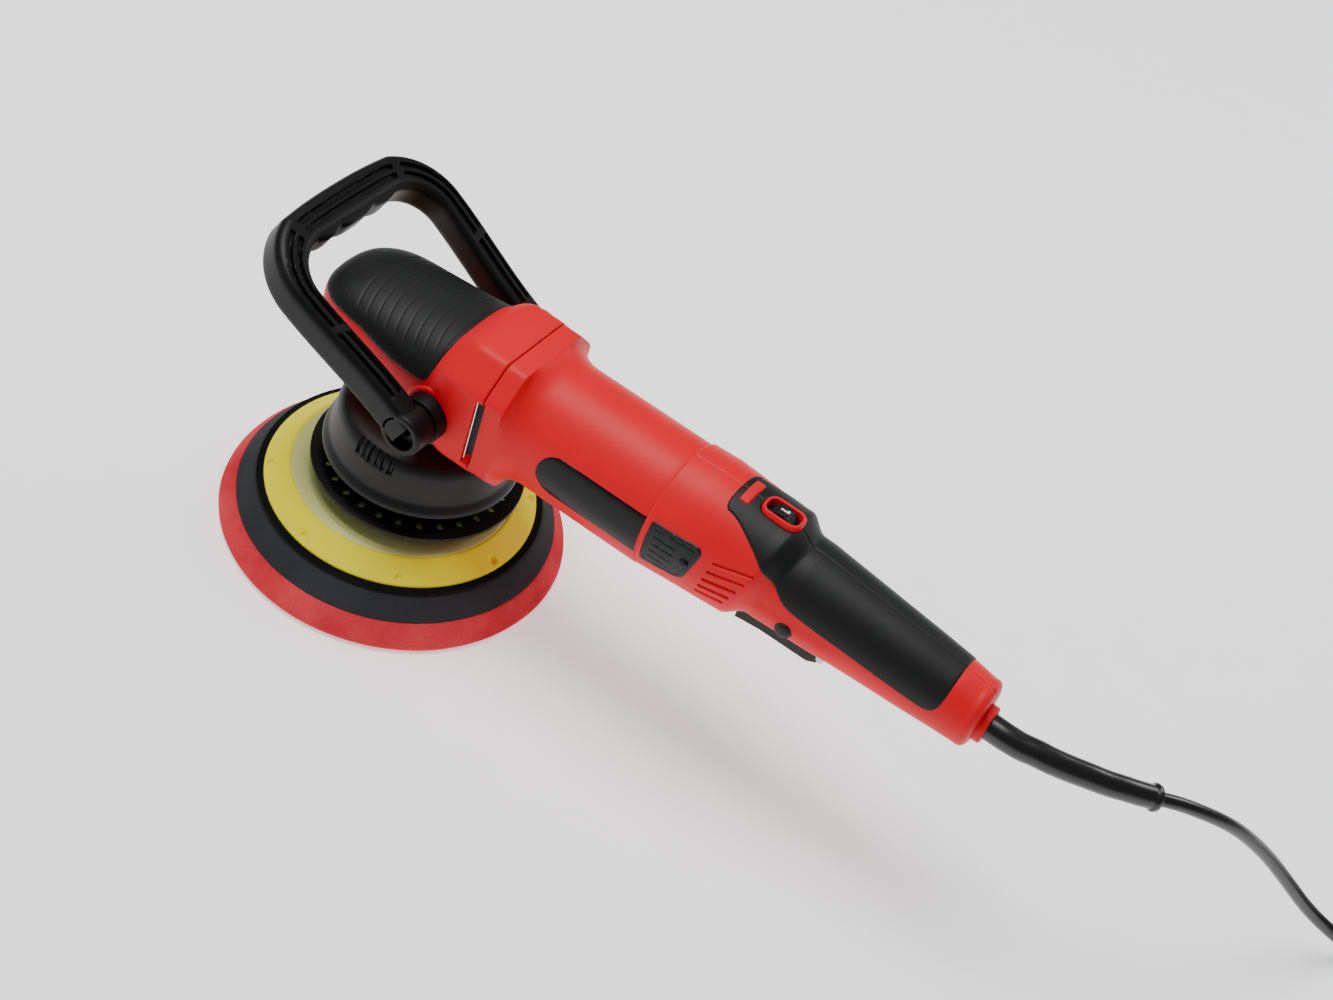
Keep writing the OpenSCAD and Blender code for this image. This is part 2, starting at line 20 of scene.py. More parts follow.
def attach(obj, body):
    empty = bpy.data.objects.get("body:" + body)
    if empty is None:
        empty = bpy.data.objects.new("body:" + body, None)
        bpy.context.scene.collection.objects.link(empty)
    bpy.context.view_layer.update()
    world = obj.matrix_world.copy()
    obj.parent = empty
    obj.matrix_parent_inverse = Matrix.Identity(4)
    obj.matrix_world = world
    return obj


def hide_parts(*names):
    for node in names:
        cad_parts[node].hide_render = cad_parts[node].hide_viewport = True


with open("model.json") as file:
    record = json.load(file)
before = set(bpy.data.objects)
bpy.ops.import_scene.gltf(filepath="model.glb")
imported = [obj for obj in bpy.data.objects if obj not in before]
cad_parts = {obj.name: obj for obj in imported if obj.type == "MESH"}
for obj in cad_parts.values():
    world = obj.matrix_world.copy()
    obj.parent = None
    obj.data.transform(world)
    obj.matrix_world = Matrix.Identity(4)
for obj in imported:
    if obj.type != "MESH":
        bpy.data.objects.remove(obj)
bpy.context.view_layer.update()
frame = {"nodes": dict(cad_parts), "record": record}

LOG = logging.getLogger("polisher")
AXIS_Z = 131.0
BODY_RADIUS = 37.0
Point2 = Tuple[float, float]
Shape = Tuple[np.ndarray, List[Sequence[int]]]
Radius = Callable[[np.ndarray, np.ndarray], np.ndarray]


class Body(Enum):
    """CAD bodies that the visible pieces ride on."""

    HOUSING = "housing"
    PAD = "pad"
    HANDLE = "front_handle"
    DIAL = "speed_dial"


class Grain(Enum):
    """Small-scale pattern that a finish carries."""

    MOULDED = "moulded"
    CELLS = "cells"
    FIBRES = "fibres"
    TURNED = "turned"


# ------------------------------------------------------------------ materials
MADE: Dict[str, bpy.types.Material] = {}


def linear(colour: str) -> Tuple[float, float, float, float]:
    """Turn an sRGB hex colour into a linear RGBA value.

    Args:
        colour: Six hex digits, with or without a leading hash.

    Returns:
        The linear red, green, blue and an alpha of one.
    """
    parts = [int(colour.lstrip("#")[i:i + 2], 16) / 255 for i in (0, 2, 4)]
    return tuple(p / 12.92 if p <= 0.04045 else ((p + 0.055) / 1.055) ** 2.4 for p in parts) + (1.0,)


def add_node(tree: bpy.types.NodeTree, kind: str, settings: Optional[Dict[str, object]] = None,
             links: Optional[Dict[object, bpy.types.NodeSocket]] = None) -> bpy.types.Node:
    """Add one shader node with its constant values and its incoming links.

    Args:
        tree: Node tree that receives the node.
        kind: Blender's name of the node type.
        settings: Values by socket name, or by attribute name where no socket has it.
        links: Source sockets by the name or number of the socket they feed.

    Returns:
        The new node.
    """
    node = tree.nodes.new(kind)
    for key, value in (settings or {}).items():
        if key in node.inputs:
            node.inputs[key].default_value = value
        else:
            setattr(node, key, value)
    for key, source in (links or {}).items():
        tree.links.new(source, node.inputs[key])
    return node


@dataclass(frozen=True)
class Finish:
    """Surface of one real material: two close tones, a grain of a real size and a slight relief."""

    name: str
    colour: str
    other: str
    grain: Grain = Grain.MOULDED
    size: float = 0.6
    relief: float = 0.02
    roughness: float = 0.45
    spread: float = 0.08
    metallic: float = 0.0
    ior: float = 1.5
    coat: float = 0.0
    scatter: float = 0.0
    glow: float = 0.0

    def pattern(self, tree: bpy.types.NodeTree) -> bpy.types.NodeSocket:
        """Build the small-scale pattern of the grain.

        Args:
            tree: Node tree of the material.

        Returns:
            A socket with values around zero to one.
        """
        place = add_node(tree, "ShaderNodeTexCoord").outputs["Object"]
        scale = 1000.0 / self.size
        if self.grain is Grain.CELLS:
            return add_node(tree, "ShaderNodeTexVoronoi", {"Scale": scale, "Randomness": 1.0},
                            {"Vector": place}).outputs["Distance"]
        if self.grain is Grain.FIBRES:
            return add_node(tree, "ShaderNodeTexNoise", {"Scale": scale, "Detail": 6.0, "Distortion": 1.8},
                            {"Vector": place}).outputs["Fac"]
        if self.grain is Grain.TURNED:
            return add_node(tree, "ShaderNodeTexWave",
                            {"wave_type": "RINGS", "rings_direction": "Z", "Scale": scale / 6, "Distortion": 1.5,
                             "Detail": 3.0}, {"Vector": place}).outputs["Fac"]
        return add_node(tree, "ShaderNodeTexNoise", {"Scale": scale, "Detail": 3.0, "Roughness": 0.6},
                        {"Vector": place}).outputs["Fac"]

    def build(self) -> bpy.types.Material:
        """Make the material, or return it if it is already made."""
        if self.name in MADE:
            return MADE[self.name]
        carried = bpy.data.materials.get(self.name)
        if carried:
            carried.name = f"cad_{self.name}"
        material = MADE[self.name] = bpy.data.materials.new(self.name)
        material.use_nodes = True
        tree = material.node_tree
        tree.nodes.clear()
        fine = self.pattern(tree)
        place = add_node(tree, "ShaderNodeTexCoord").outputs["Object"]
        broad = add_node(tree, "ShaderNodeTexNoise", {"Scale": 35.0, "Detail": 2.0}, {"Vector": place}).outputs["Fac"]
        both = add_node(tree, "ShaderNodeMath", {"operation": "MULTIPLY_ADD"},
                        {0: fine, 1: broad, 2: broad}).outputs[0]
        shade = add_node(tree, "ShaderNodeMapRange", {"From Min": 0.35, "From Max": 1.1}, {"Value": both})
        tone = add_node(tree, "ShaderNodeMix", {"data_type": "RGBA"}, {0: shade.outputs["Result"]})
        tone.inputs[6].default_value = linear(self.colour)
        tone.inputs[7].default_value = linear(self.other)
        rough = add_node(tree, "ShaderNodeMapRange",
                         {"To Min": max(self.roughness - self.spread, 0.03), "To Max": self.roughness + self.spread},
                         {"Value": fine})
        bump = add_node(tree, "ShaderNodeBump", {"Strength": 0.6, "Distance": self.relief / 1000},
                        {"Height": fine})
        settings = {"Metallic": self.metallic, "Coat Weight": self.coat, "Coat Roughness": 0.08,
                    "Subsurface Weight": self.scatter, "Subsurface Scale": 0.002}
        if not self.metallic:
            settings["IOR"] = self.ior
        if self.glow:
            settings.update({"Emission Color": linear(self.other), "Emission Strength": self.glow})
        shader = add_node(tree, "ShaderNodeBsdfPrincipled", settings,
                          {"Base Color": tone.outputs[2], "Roughness": rough.outputs["Result"],
                           "Normal": bump.outputs["Normal"]})
        add_node(tree, "ShaderNodeOutputMaterial", links={"Surface": shader.outputs[0]})
        return material


# Saturated red with a soft sheen: the first thing seen.
RED_ABS = Finish("red_abs_plastic", "#D80018", "#E0001C", size=0.5, relief=0.012, roughness=0.48, ior=1.3)
# Dull soft black that takes wide grey highlights.
GRIP_RUBBER = Finish("grip_rubber_tpe", "#08090A", "#0C0D0E", size=0.35, relief=0.02, roughness=0.55, ior=1.38)
# Near black with a grey sheen, fine spark texture.
HANDLE_NYLON = Finish("handle_glass_filled_nylon", "#060707", "#0A0B0B", size=0.4, relief=0.02, roughness=0.45,
                      ior=1.3)
# Slightly lighter charcoal of the brush covers.
COVER_NYLON = Finish("cover_nylon", "#0E1011", "#141618", size=0.4, relief=0.015, roughness=0.5, ior=1.38)
# Plain black of the bell and small mouldings.
BLACK_NYLON = Finish("black_nylon", "#060606", "#0A0A0B", size=0.5, relief=0.012, roughness=0.5, ior=1.38)
# Mirror-like black film of the blank label.
LABEL_FILM = Finish("label_film_polyester", "#020202", "#040404", size=2.0, relief=0.002, roughness=0.2, spread=0.03,
                    ior=1.3)
# Wet-looking black of the cord and its sleeve.
CORD_PVC = Finish("cord_pvc", "#050505", "#080809", size=0.8, relief=0.01, roughness=0.3, coat=0.1, ior=1.53)
# Fine open cells, coral red in two close tones.
RED_FOAM = Finish("red_polyurethane_foam", "#C01C2A", "#E0404A", Grain.CELLS, 0.6, 0.3, 0.95, 0.04, ior=1.3)
# Dense dark foam layer.
GREY_FOAM = Finish("grey_polyurethane_foam", "#26282B", "#333538", Grain.CELLS, 0.5, 0.22, 0.95, 0.04, ior=1.35)
# Bright canary skin of the backing plate's foam.
YELLOW_FOAM = Finish("yellow_polyurethane_skin", "#FFF000", "#FFF400", size=0.9, relief=0.03, roughness=0.55,
                     ior=1.3)
# Dusty black fuzz between the plate and the pad.
HOOK_FABRIC = Finish("hook_and_loop_fabric", "#030303", "#121213", Grain.FIBRES, 0.35, 0.3, 0.95, 0.04, ior=1.3)
# Cloudy cream-green resin of the fibre backing plate.
PLATE_RESIN = Finish("fibre_resin_plate", "#D8DE86", "#E2E89A", size=1.6, relief=0.02, roughness=0.38, scatter=0.2)
# Dull grey die casting behind the covers.
CAST_ALUMINIUM = Finish("cast_aluminium", "#A6A8AC", "#BDBFC2", size=0.6, relief=0.03, roughness=0.45, metallic=1.0)
# Black oxide screw heads.
SCREW_STEEL = Finish("black_oxide_steel", "#1E1E20", "#2B2B2E", Grain.TURNED, 0.3, 0.006, 0.35, metallic=1.0)
# Bright ground bearing rings.
BEARING_STEEL = Finish("bearing_steel", "#B4B6BA", "#C9CBCE", Grain.TURNED, 0.25, 0.004, 0.18, 0.05, metallic=1.0)
# Silver of the shafts.
TURNED_STEEL = Finish("turned_steel", "#A9ABAF", "#C2C4C8", Grain.TURNED, 0.3, 0.006, 0.28, metallic=1.0)
# Drawn wire of the springs.
SPRING_STEEL = Finish("spring_steel", "#9EA0A4", "#B6B8BC", Grain.TURNED, 0.4, 0.01, 0.3, metallic=1.0)
# Stacked sheets of the motor.
LAMINATION = Finish("lamination_steel", "#6E7074", "#8B8D91", Grain.TURNED, 0.5, 0.02, 0.5, metallic=1.0)
# Enamelled copper wire.
COPPER = Finish("enamelled_copper", "#A8562A", "#C77A48", Grain.FIBRES, 0.8, 0.05, 0.35, metallic=1.0)
# Pressed brass of the brush boxes and plug blades.
BRASS = Finish("brass", "#B9953F", "#D2B05C", size=0.5, relief=0.006, roughness=0.25, metallic=1.0)
# Sooty carbon.
CARBON = Finish("carbon_brush", "#17171A", "#26262A", size=0.3, relief=0.02, roughness=0.7)
# Green lacquered board.
BOARD = Finish("circuit_board_laminate", "#0E4A22", "#176131", size=1.2, relief=0.005, roughness=0.3, coat=0.3)
# Flexible strap round the coil.
TIE_NYLON = Finish("tie_nylon", "#1C1C1F", "#28282B", Grain.FIBRES, 0.6, 0.03, 0.5)
# Chalk white of the dial's figure.
DIAL_PRINT = Finish("white_pad_print", "#F2F2F0", "#FFFFFF", size=0.5, relief=0.002, roughness=0.5)
# Bright strip in the front slot.
CHROME = Finish("chromed_strip", "#D8DADC", "#E8EAEC", size=0.6, relief=0.002, roughness=0.1, spread=0.03,
                metallic=1.0)
# Pale matte sheet under the tool. It glows a little, so that it reads as white paper in a bright room.
PAPER = Finish("studio_paper", "#FBFBFB", "#FFFFFF", size=0.8, relief=0.005, roughness=0.85, glow=0.62)

SLOT_FINISH: Dict[str, Finish] = {
    "red_abs": RED_ABS, "grip_rubber": GRIP_RUBBER, "cast_aluminium": CAST_ALUMINIUM, "black_nylon": BLACK_NYLON,
    "handle_nylon": HANDLE_NYLON, "cover_nylon": COVER_NYLON, "label_film": LABEL_FILM,
    "dark_screw_steel": SCREW_STEEL, "bearing_steel": BEARING_STEEL, "turned_steel": TURNED_STEEL,
    "spring_steel": SPRING_STEEL, "lamination_steel": LAMINATION, "copper": COPPER, "brass": BRASS,
    "carbon": CARBON, "circuit_board": BOARD, "cord_pvc": CORD_PVC, "tie_nylon": TIE_NYLON,
    "plate_resin": PLATE_RESIN, "yellow_foam": YELLOW_FOAM, "hook_fabric": HOOK_FABRIC, "grey_foam": GREY_FOAM,
    "red_foam": RED_FOAM,
}


# ------------------------------------------------------------------ shapes
def smooth(low: float, high: float, value: np.ndarray) -> np.ndarray:
    """Smooth step from zero at low to one at high."""
    t = np.clip((np.asarray(value, float) - low) / (high - low), 0, 1)
    return t * t * (3 - 2 * t)


def stations(*runs: Tuple[float, float, float]) -> np.ndarray:
    """Join runs of evenly spaced stations.

    Args:
        runs: Start, end and largest step of each run, each starting where the last one ended.

    Returns:
        Every station once, in order.
    """
    parts = [np.linspace(a, b, max(int(math.ceil(abs(b - a) / step)), 1) + 1) for a, b, step in runs]
    return np.concatenate([parts[0]] + [p[1:] for p in parts[1:]])


def softened(points: Sequence[Point2], rounds: int = 3) -> np.ndarray:
    """Round the corners of a closed outline by cutting them again and again.

    Args:
        points: Corners of the outline.
        rounds: How many times the corners are cut.

    Returns:
        The rounded outline, one point per row.
    """
    p = np.asarray(points, float)
    for _ in range(rounds):
        q = np.roll(p, -1, 0)
        p = np.stack([0.75 * p + 0.25 * q, 0.25 * p + 0.75 * q], 1).reshape(-1, p.shape[1])
    return p


def inside_distance(x: np.ndarray, y: np.ndarray, outline: np.ndarray) -> np.ndarray:
    """Distance from points to a closed outline, positive inside it.

    Args:
        x: First coordinate of the points.
        y: Second coordinate of the points.
        outline: Corners of the outline, one per row.

    Returns:
        Signed distances in the shape of x.
    """
    px, py = x.ravel(), y.ravel()
    best = np.full(px.shape, 1e9)
    inside = np.zeros(px.shape, bool)
    for (ax, ay), (bx, by) in zip(outline, np.roll(outline, -1, 0)):
        dx, dy = bx - ax, by - ay
        t = np.clip(((px - ax) * dx + (py - ay) * dy) / max(dx * dx + dy * dy, 1e-12), 0, 1)
        best = np.minimum(best, np.hypot(px - ax - t * dx, py - ay - t * dy))
        crosses = (ay > py) != (by > py)
        inside ^= crosses & (px < ax + (py - ay) * dx / (dy if abs(dy) > 1e-12 else 1e-12))
    return np.where(inside, best, -best).reshape(x.shape)


def make_piece(name: str, verts: np.ndarray, faces: List[Sequence[int]], finish: Finish, body: Body,
               replaces: Sequence[str] = (), sharp: float = 38.0) -> bpy.types.Object:
    """Turn vertices in millimetres into a dressed piece that rides on a CAD body.

    Args:
        name: Name of the piece.
        verts: Vertices, one per row, in millimetres.
        faces: Vertex numbers of each face.
        finish: Finish of the piece.
        body: CAD body that it moves with.
        replaces: CAD nodes that it stands for.
        sharp: Angle above which an edge stays sharp, in degrees.

    Returns:
        The new object.
    """
    mesh = bpy.data.meshes.new(name)
    mesh.from_pydata((np.asarray(verts, float) / 1000).tolist(), [], [list(map(int, f)) for f in faces])
    work = bmesh.new()
    work.from_mesh(mesh)
    bmesh.ops.recalc_face_normals(work, faces=work.faces)
    work.to_mesh(mesh)
    work.free()
    mesh.shade_smooth()
    mesh.set_sharp_from_angle(angle=math.radians(sharp))
    mesh.materials.append(finish.build())
    obj = bpy.data.objects.new(name, mesh)
    bpy.context.scene.collection.objects.link(obj)
    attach(obj, body.value)
    if replaces:
        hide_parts(*replaces)
    return obj


def ring_faces(rows: int, cols: int, wrap: bool = True, start: int = 0) -> List[Sequence[int]]:
    """Faces between neighbouring rows of a grid of vertices.

    Args:
        rows: Number of rows.
        cols: Number of vertices in a row.
        wrap: Whether a row closes on itself.
        start: Number of the first vertex.

    Returns:
        Four-sided faces.
    """
    last = cols if wrap else cols - 1
    return [(start + i * cols + k, start + i * cols + (k + 1) % cols, start + (i + 1) * cols + (k + 1) % cols,
             start + (i + 1) * cols + k) for i in range(rows - 1) for k in range(last)]


def loft(rings: np.ndarray) -> Shape:
    """Closed solid through rings of points, with flat ends.

    Args:
        rings: Array of rings, points and coordinates.

    Returns:
        Vertices and faces.
    """
    rows, cols = rings.shape[:2]
    faces = ring_faces(rows, cols)
    faces.append(tuple(range(cols))[::-1])
    faces.append(tuple(range((rows - 1) * cols, rows * cols)))
    return rings.reshape(-1, 3), faces


def ring_solid(rings: np.ndarray) -> Shape:
    """Closed solid through rings of points of which the last joins the first."""
    rows, cols = rings.shape[:2]
    faces = [tuple(v % (rows * cols) for v in f) for f in ring_faces(rows + 1, cols)]
    return rings.reshape(-1, 3), faces


def slab(outer: np.ndarray, inner: np.ndarray) -> Shape:
    """Closed solid between two open grids of the same shape.

    Args:
        outer: Outer grid of points.
        inner: Inner grid of points.

    Returns:
        Vertices and faces.
    """
    rows, cols = outer.shape[:2]
    half = rows * cols
    faces = ring_faces(rows, cols, False) + [f[::-1] for f in ring_faces(rows, cols, False, half)]
    edge = ([k for k in range(cols)] + [i * cols + cols - 1 for i in range(1, rows)]
            + [(rows - 1) * cols + k for k in range(cols - 2, -1, -1)] + [i * cols for i in range(rows - 2, 0, -1)])
    faces += [(edge[i - 1], edge[i], edge[i] + half, edge[i - 1] + half) for i in range(len(edge))]
    return np.concatenate([outer.reshape(-1, 3), inner.reshape(-1, 3)]), faces


def filleted(points: Sequence[Tuple[float, float, float]], steps: int = 5) -> List[Point2]:
    """Round the corners of a profile.

    Args:
        points: Two coordinates and the corner's rounding length for each corner.
        steps: Points on each rounded corner.

    Returns:
        The rounded profile.
    """
    made: List[Point2] = []
    for i, (x, y, r) in enumerate(points):
        if r <= 0:
            made.append((x, y))
            continue
        p, a, b = np.array((x, y)), np.array(points[i - 1][:2]), np.array(points[(i + 1) % len(points)][:2])
        ra, rb = min(r, np.linalg.norm(a - p) * 0.49), min(r, np.linalg.norm(b - p) * 0.49)
        a, b = p + (a - p) / np.linalg.norm(a - p) * ra, p + (b - p) / np.linalg.norm(b - p) * rb
        for t in np.linspace(0, 1, steps):
            made.append(tuple((1 - t) ** 2 * a + 2 * t * (1 - t) * p + t * t * b))
    return made


def finer(profile: List[Point2], step: float, wanted: Callable[[Point2], bool]) -> List[Point2]:
    """Put extra points on the stretches of a profile that carry fine relief.

    Args:
        profile: Points of the profile, of which the first stands again at the end if it is closed.
        step: Distance between the extra points.
        wanted: Says whether the stretch that starts at a point is made finer.

    Returns:
        The finer profile, without its last point.
    """
    made: List[Point2] = []
    for a, b in zip(profile, profile[1:]):
        n = max(int(math.hypot(b[0] - a[0], b[1] - a[1]) / step), 1) if wanted(a) else 1
        made += [(a[0] + (b[0] - a[0]) * k / n, a[1] + (b[1] - a[1]) * k / n) for k in range(n)]
    return made


def lathe(profile: Sequence[Point2], centre: Point2 = (0.0, 0.0), count: int = 160,
          wobble: Optional[Callable[[np.ndarray, np.ndarray, np.ndarray], np.ndarray]] = None,
          closed: bool = False) -> Shape:
    """Turn a profile round a vertical axis.

    Args:
        profile: Radius and height along the profile. An open one starts and ends on the axis.
        centre: Place of the axis.
        count: Points in each ring.
        wobble: Change of radius by radius, height and angle.
        closed: Whether the profile closes on itself.

    Returns:
        Vertices and faces.
    """
    turn = np.arange(count) * 2 * math.pi / count
    pts = np.array([p for p in profile if closed or p[0] > 1e-6], float)
    radius = np.repeat(pts[:, :1], count, 1)
    height = np.repeat(pts[:, 1:], count, 1)
    angle = np.repeat(turn[None], len(pts), 0)
    if wobble:
        radius = radius + wobble(radius, height, angle)
    grid = np.stack([centre[0] + radius * np.cos(angle), centre[1] + radius * np.sin(angle), height], -1)
    if closed:
        return ring_solid(grid)
    verts, faces = grid.reshape(-1, 3), ring_faces(len(pts), count)
    ends = np.array([[centre[0], centre[1], profile[0][1]], [centre[0], centre[1], profile[-1][1]]])
    low, high = len(verts), len(verts) + 1
    top = (len(pts) - 1) * count
    faces += [(low, (k + 1) % count, k) for k in range(count)]
    faces += [(high, top + k, top + (k + 1) % count) for k in range(count)]
    return np.concatenate([verts, ends]), faces


def turned_y(made: Shape, place: Sequence[float]) -> Shape:
    """Lay a turned shape's axis along -Y, with its zero height at a place."""
    v, faces = made
    return np.stack([v[:, 0] + place[0], place[1] - v[:, 2], v[:, 1] + place[2]], 1), faces


def spline(points: Sequence[Sequence[float]], step: float) -> np.ndarray:
    """Even points on a smooth line through the given ones.

    Args:
        points: Points that the line passes.
        step: Distance between the points returned.

    Returns:
        Points, one per row.
    """
    p = np.asarray(points, float)
    p = np.concatenate([[2 * p[0] - p[1]], p, [2 * p[-1] - p[-2]]])
    t = np.linspace(0, 1, 24, endpoint=False)[:, None]
    fine = [0.5 * (2 * b + (c - a) * t + (2 * a - 5 * b + 4 * c - d) * t ** 2 + (3 * b - a - 3 * c + d) * t ** 3)
            for a, b, c, d in zip(p, p[1:], p[2:], p[3:])]
    line = np.concatenate(fine + [p[-2:-1]])
    run = np.concatenate([[0], np.cumsum(np.linalg.norm(np.diff(line, axis=0), axis=1))])
    at = np.linspace(0, run[-1], max(int(run[-1] / step), 2))
    return np.stack([np.interp(at, run, line[:, k]) for k in range(3)], 1)


def tube(path: np.ndarray, radius: np.ndarray, count: int = 20) -> Shape:
    """Round tube along a path with flat ends.

    Args:
        path: Points of the middle line.
        radius: Radius at each point.
        count: Points round the tube.

    Returns:
        Vertices and faces.
    """
    tangent = np.gradient(path, axis=0)
    tangent /= np.linalg.norm(tangent, axis=1)[:, None]
    side = np.cross((0, 0, 1.0), tangent)
    side /= np.linalg.norm(side, axis=1)[:, None]
    up = np.cross(tangent, side)
    turn = np.arange(count) * 2 * math.pi / count
    spread = (side[:, None] * np.cos(turn)[None, :, None] + up[:, None] * np.sin(turn)[None, :, None])
    return loft(path[:, None] + spread * np.asarray(radius, float)[:, None, None])


def rounded_box(low: Sequence[float], high: Sequence[float], soft: float) -> Shape:
    """Box with rounded edges, longest side along X.

    Args:
        low: Lowest corner.
        high: Highest corner.
        soft: Rounding of the edges.

    Returns:
        Vertices and faces.
    """
    low, high = np.asarray(low, float), np.asarray(high, float)
    mid, half = (low + high) / 2, (high - low) / 2
    soft = min(soft, half.min() * 0.98)
    turn = (np.arange(32) + 0.5) * 2 * math.pi / 32
    rings = []
    for x, drawn in [(-half[0] + soft * (1 - math.cos(a)), soft * (1 - math.sin(a)))
                     for a in np.linspace(0, math.pi / 2, 5)]:
        cy, cz = half[1] - soft, half[2] - soft
        r = soft - drawn
        rings.append(np.stack([np.full(32, x), np.sign(np.cos(turn)) * cy + r * np.cos(turn),
                               np.sign(np.sin(turn)) * cz + r * np.sin(turn)], 1))
    rings += [r * (-1, 1, 1) for r in rings[::-1]]
    return loft(np.array(rings) + mid)


def joined(*parts: Shape) -> Shape:
    """Put several shapes into one, each staying a solid of its own."""
    verts, faces, count = [], [], 0
    for v, f in parts:
        verts.append(v)
        faces += [tuple(i + count for i in face) for face in f]
        count += len(v)
    return np.concatenate(verts), faces


# ------------------------------------------------------------------ surfaces
@dataclass
class Surface:
    """Body of the tool about its long axis: radius by station and by angle from the top towards -Y."""

    radius: Radius
    middle: Callable[[np.ndarray], np.ndarray]

    def grid(self, x: np.ndarray, angle: np.ndarray, lift: object = 0.0) -> np.ndarray:
        """Points on the surface.

        Args:
            x: Stations along the axis.
            angle: Angles in radians.
            lift: Distance above the surface, as a number or an array.

        Returns:
            Grid of points.
        """
        xx, aa = np.meshgrid(x, angle, indexing="ij")
        r = self.radius(xx, aa) + lift
        return np.stack([xx, -r * np.sin(aa), self.middle(xx) + r * np.cos(aa)], -1)

    def raised(self, x: np.ndarray, angle: np.ndarray, inside: Callable[[np.ndarray], np.ndarray], height: float,
               depth: float = 1.4, extra: Optional[Callable[[np.ndarray], np.ndarray]] = None,
               edge: float = 1.0) -> Shape:
        """Raised skin over part of the surface that dips under it outside its outline.

        Args:
            x: Stations along the axis.
            angle: Angles in radians.
            inside: Distance inside the outline for a grid of points.
            height: Height of the skin above the surface.
            depth: Depth of its hidden border below the surface.
            extra: Further height, such as grooves, for a grid of points.
            edge: Slope of its edge.

        Returns:
            Vertices and faces.
        """
        base = self.grid(x, angle)
        lift = np.clip(inside(base) * edge, -depth, height)
        if extra is not None:
            lift = lift + extra(base) * smooth(0, height, lift)
        return slab(self.grid(x, angle, lift), self.grid(x, angle, -depth - 0.8))


def octagon(angle: np.ndarray, half: float = 40.0, across: float = 45.3) -> np.ndarray:
    """Radius of the housing's eight-sided flange with slightly rounded corners."""
    s, c, power = np.sin(angle), np.cos(angle), 60.0
    terms = [np.abs(s) / half, np.abs(c) / half, np.abs(s + c) / math.sqrt(2) / across,
             np.abs(s - c) / math.sqrt(2) / across]
    return sum(t ** power for t in terms) ** (-1 / power)


def head_middle(x: np.ndarray) -> np.ndarray:
    """Height of the head's middle line, which rises towards the nose."""
    return AXIS_Z + 8 * np.clip((-30 - x) / 41, 0, 1) ** 2


def head_radius(x: np.ndarray, angle: np.ndarray) -> np.ndarray:
    """Radius of the head: a full rounded nose that opens into the eight-sided flange."""
    x = np.asarray(x, float)
    s, c = np.abs(np.sin(angle)), np.cos(angle)
    width = np.interp(x, [-71, -30, -10, 16, 33, 60], [35.6, 36, 36.8, 37.5, 40, 40])
    top = np.interp(x, [-71, -60, -40, -10, 16, 33, 60], [156, 155.7, 156.2, 158.5, 161.5, 171, 171]) - head_middle(x)
    low = head_middle(x) - np.interp(x, [-71, -60, -40, -10, 16, 60], [105, 98, 97, 93.5, 91.2, 91])
    fall = (1 - np.clip((-30 - x) / 41, 0, 0.9999) ** 2.6) ** (1 / 2.6)
    high = np.where(c > 0, top, low)
    n = 2.7
    egg = ((s / width) ** n + (np.abs(c) / high) ** n) ** (-1 / n) * fall
    t = smooth(12, 34, x)
    return (1 - t) * egg + t * octagon(angle)


def tube_radius(x: np.ndarray, angle: np.ndarray) -> np.ndarray:
    """Radius of the motor housing: flange, hollow neck and plain tube."""
    x = np.asarray(x, float)
    t = np.clip((75 - x) / 14.6, 0, 1)
    neck = 35.5 + 8.5 * (1 - np.sqrt(np.clip(1 - t * t, 0, 1)))
    neck = neck + 30 * np.clip((60.4 - x) / 2.0, 0, 1)
    flange = octagon(angle, 39.3, 44.6)
    return np.where(x >= 75, 35.5, (neck ** -30.0 + flange ** -30.0) ** (-1 / 30.0))


def rear_middle(x: np.ndarray) -> np.ndarray:
    """Height of the middle line of the rear housing and its handle."""
    return np.interp(x, [148, 165, 205, 228, 256, 273, 296, 319, 328],
                     [132, 133.5, 133.6, 133.7, 132.6, 131.9, 130.9, 129.9, 129])


def rear_radius(x: np.ndarray, angle: np.ndarray) -> np.ndarray:
    """Radius of the rear housing, which steps down over a slanted shoulder into the handle."""
    x = np.asarray(x, float)
    trunk = np.interp(x, [148, 165, 182, 198, 205], [35.8, 35.5, 34.5, 33.4, 33])
    grip = np.interp(x, [205, 228, 256, 273, 296, 319, 328], [26.6, 25.8, 24, 22.9, 21.5, 19.8, 19])
    t = smooth(-6, 6, x - 209 - 8 * np.cos(angle))
    cheek = 1.2 * smooth(203, 216, x) * (1 - smooth(246, 268, x)) * np.clip(
        smooth(1.5, 1.8, np.abs(angle)) * (1 - smooth(2.0, 2.4, np.abs(angle))), 0, 1)
    end = np.sqrt(np.clip(1 - (np.clip((x - 329.6) / 4.6, 0, 1)) ** 2.4, 0, 1))
    return (trunk * (1 - t) + grip * t) * (0.72 + 0.28 * end) + cheek


HEAD = Surface(head_radius, head_middle)
MOTOR = Surface(tube_radius, lambda x: np.full(np.shape(x), AXIS_Z))
REAR = Surface(rear_radius, rear_middle)


def full_turn(step: float) -> np.ndarray:
    """Angles round the body, evenly spaced at about a given distance on the surface."""
    count = int(2 * math.pi * BODY_RADIUS / step)
    return np.arange(count) * 2 * math.pi / count


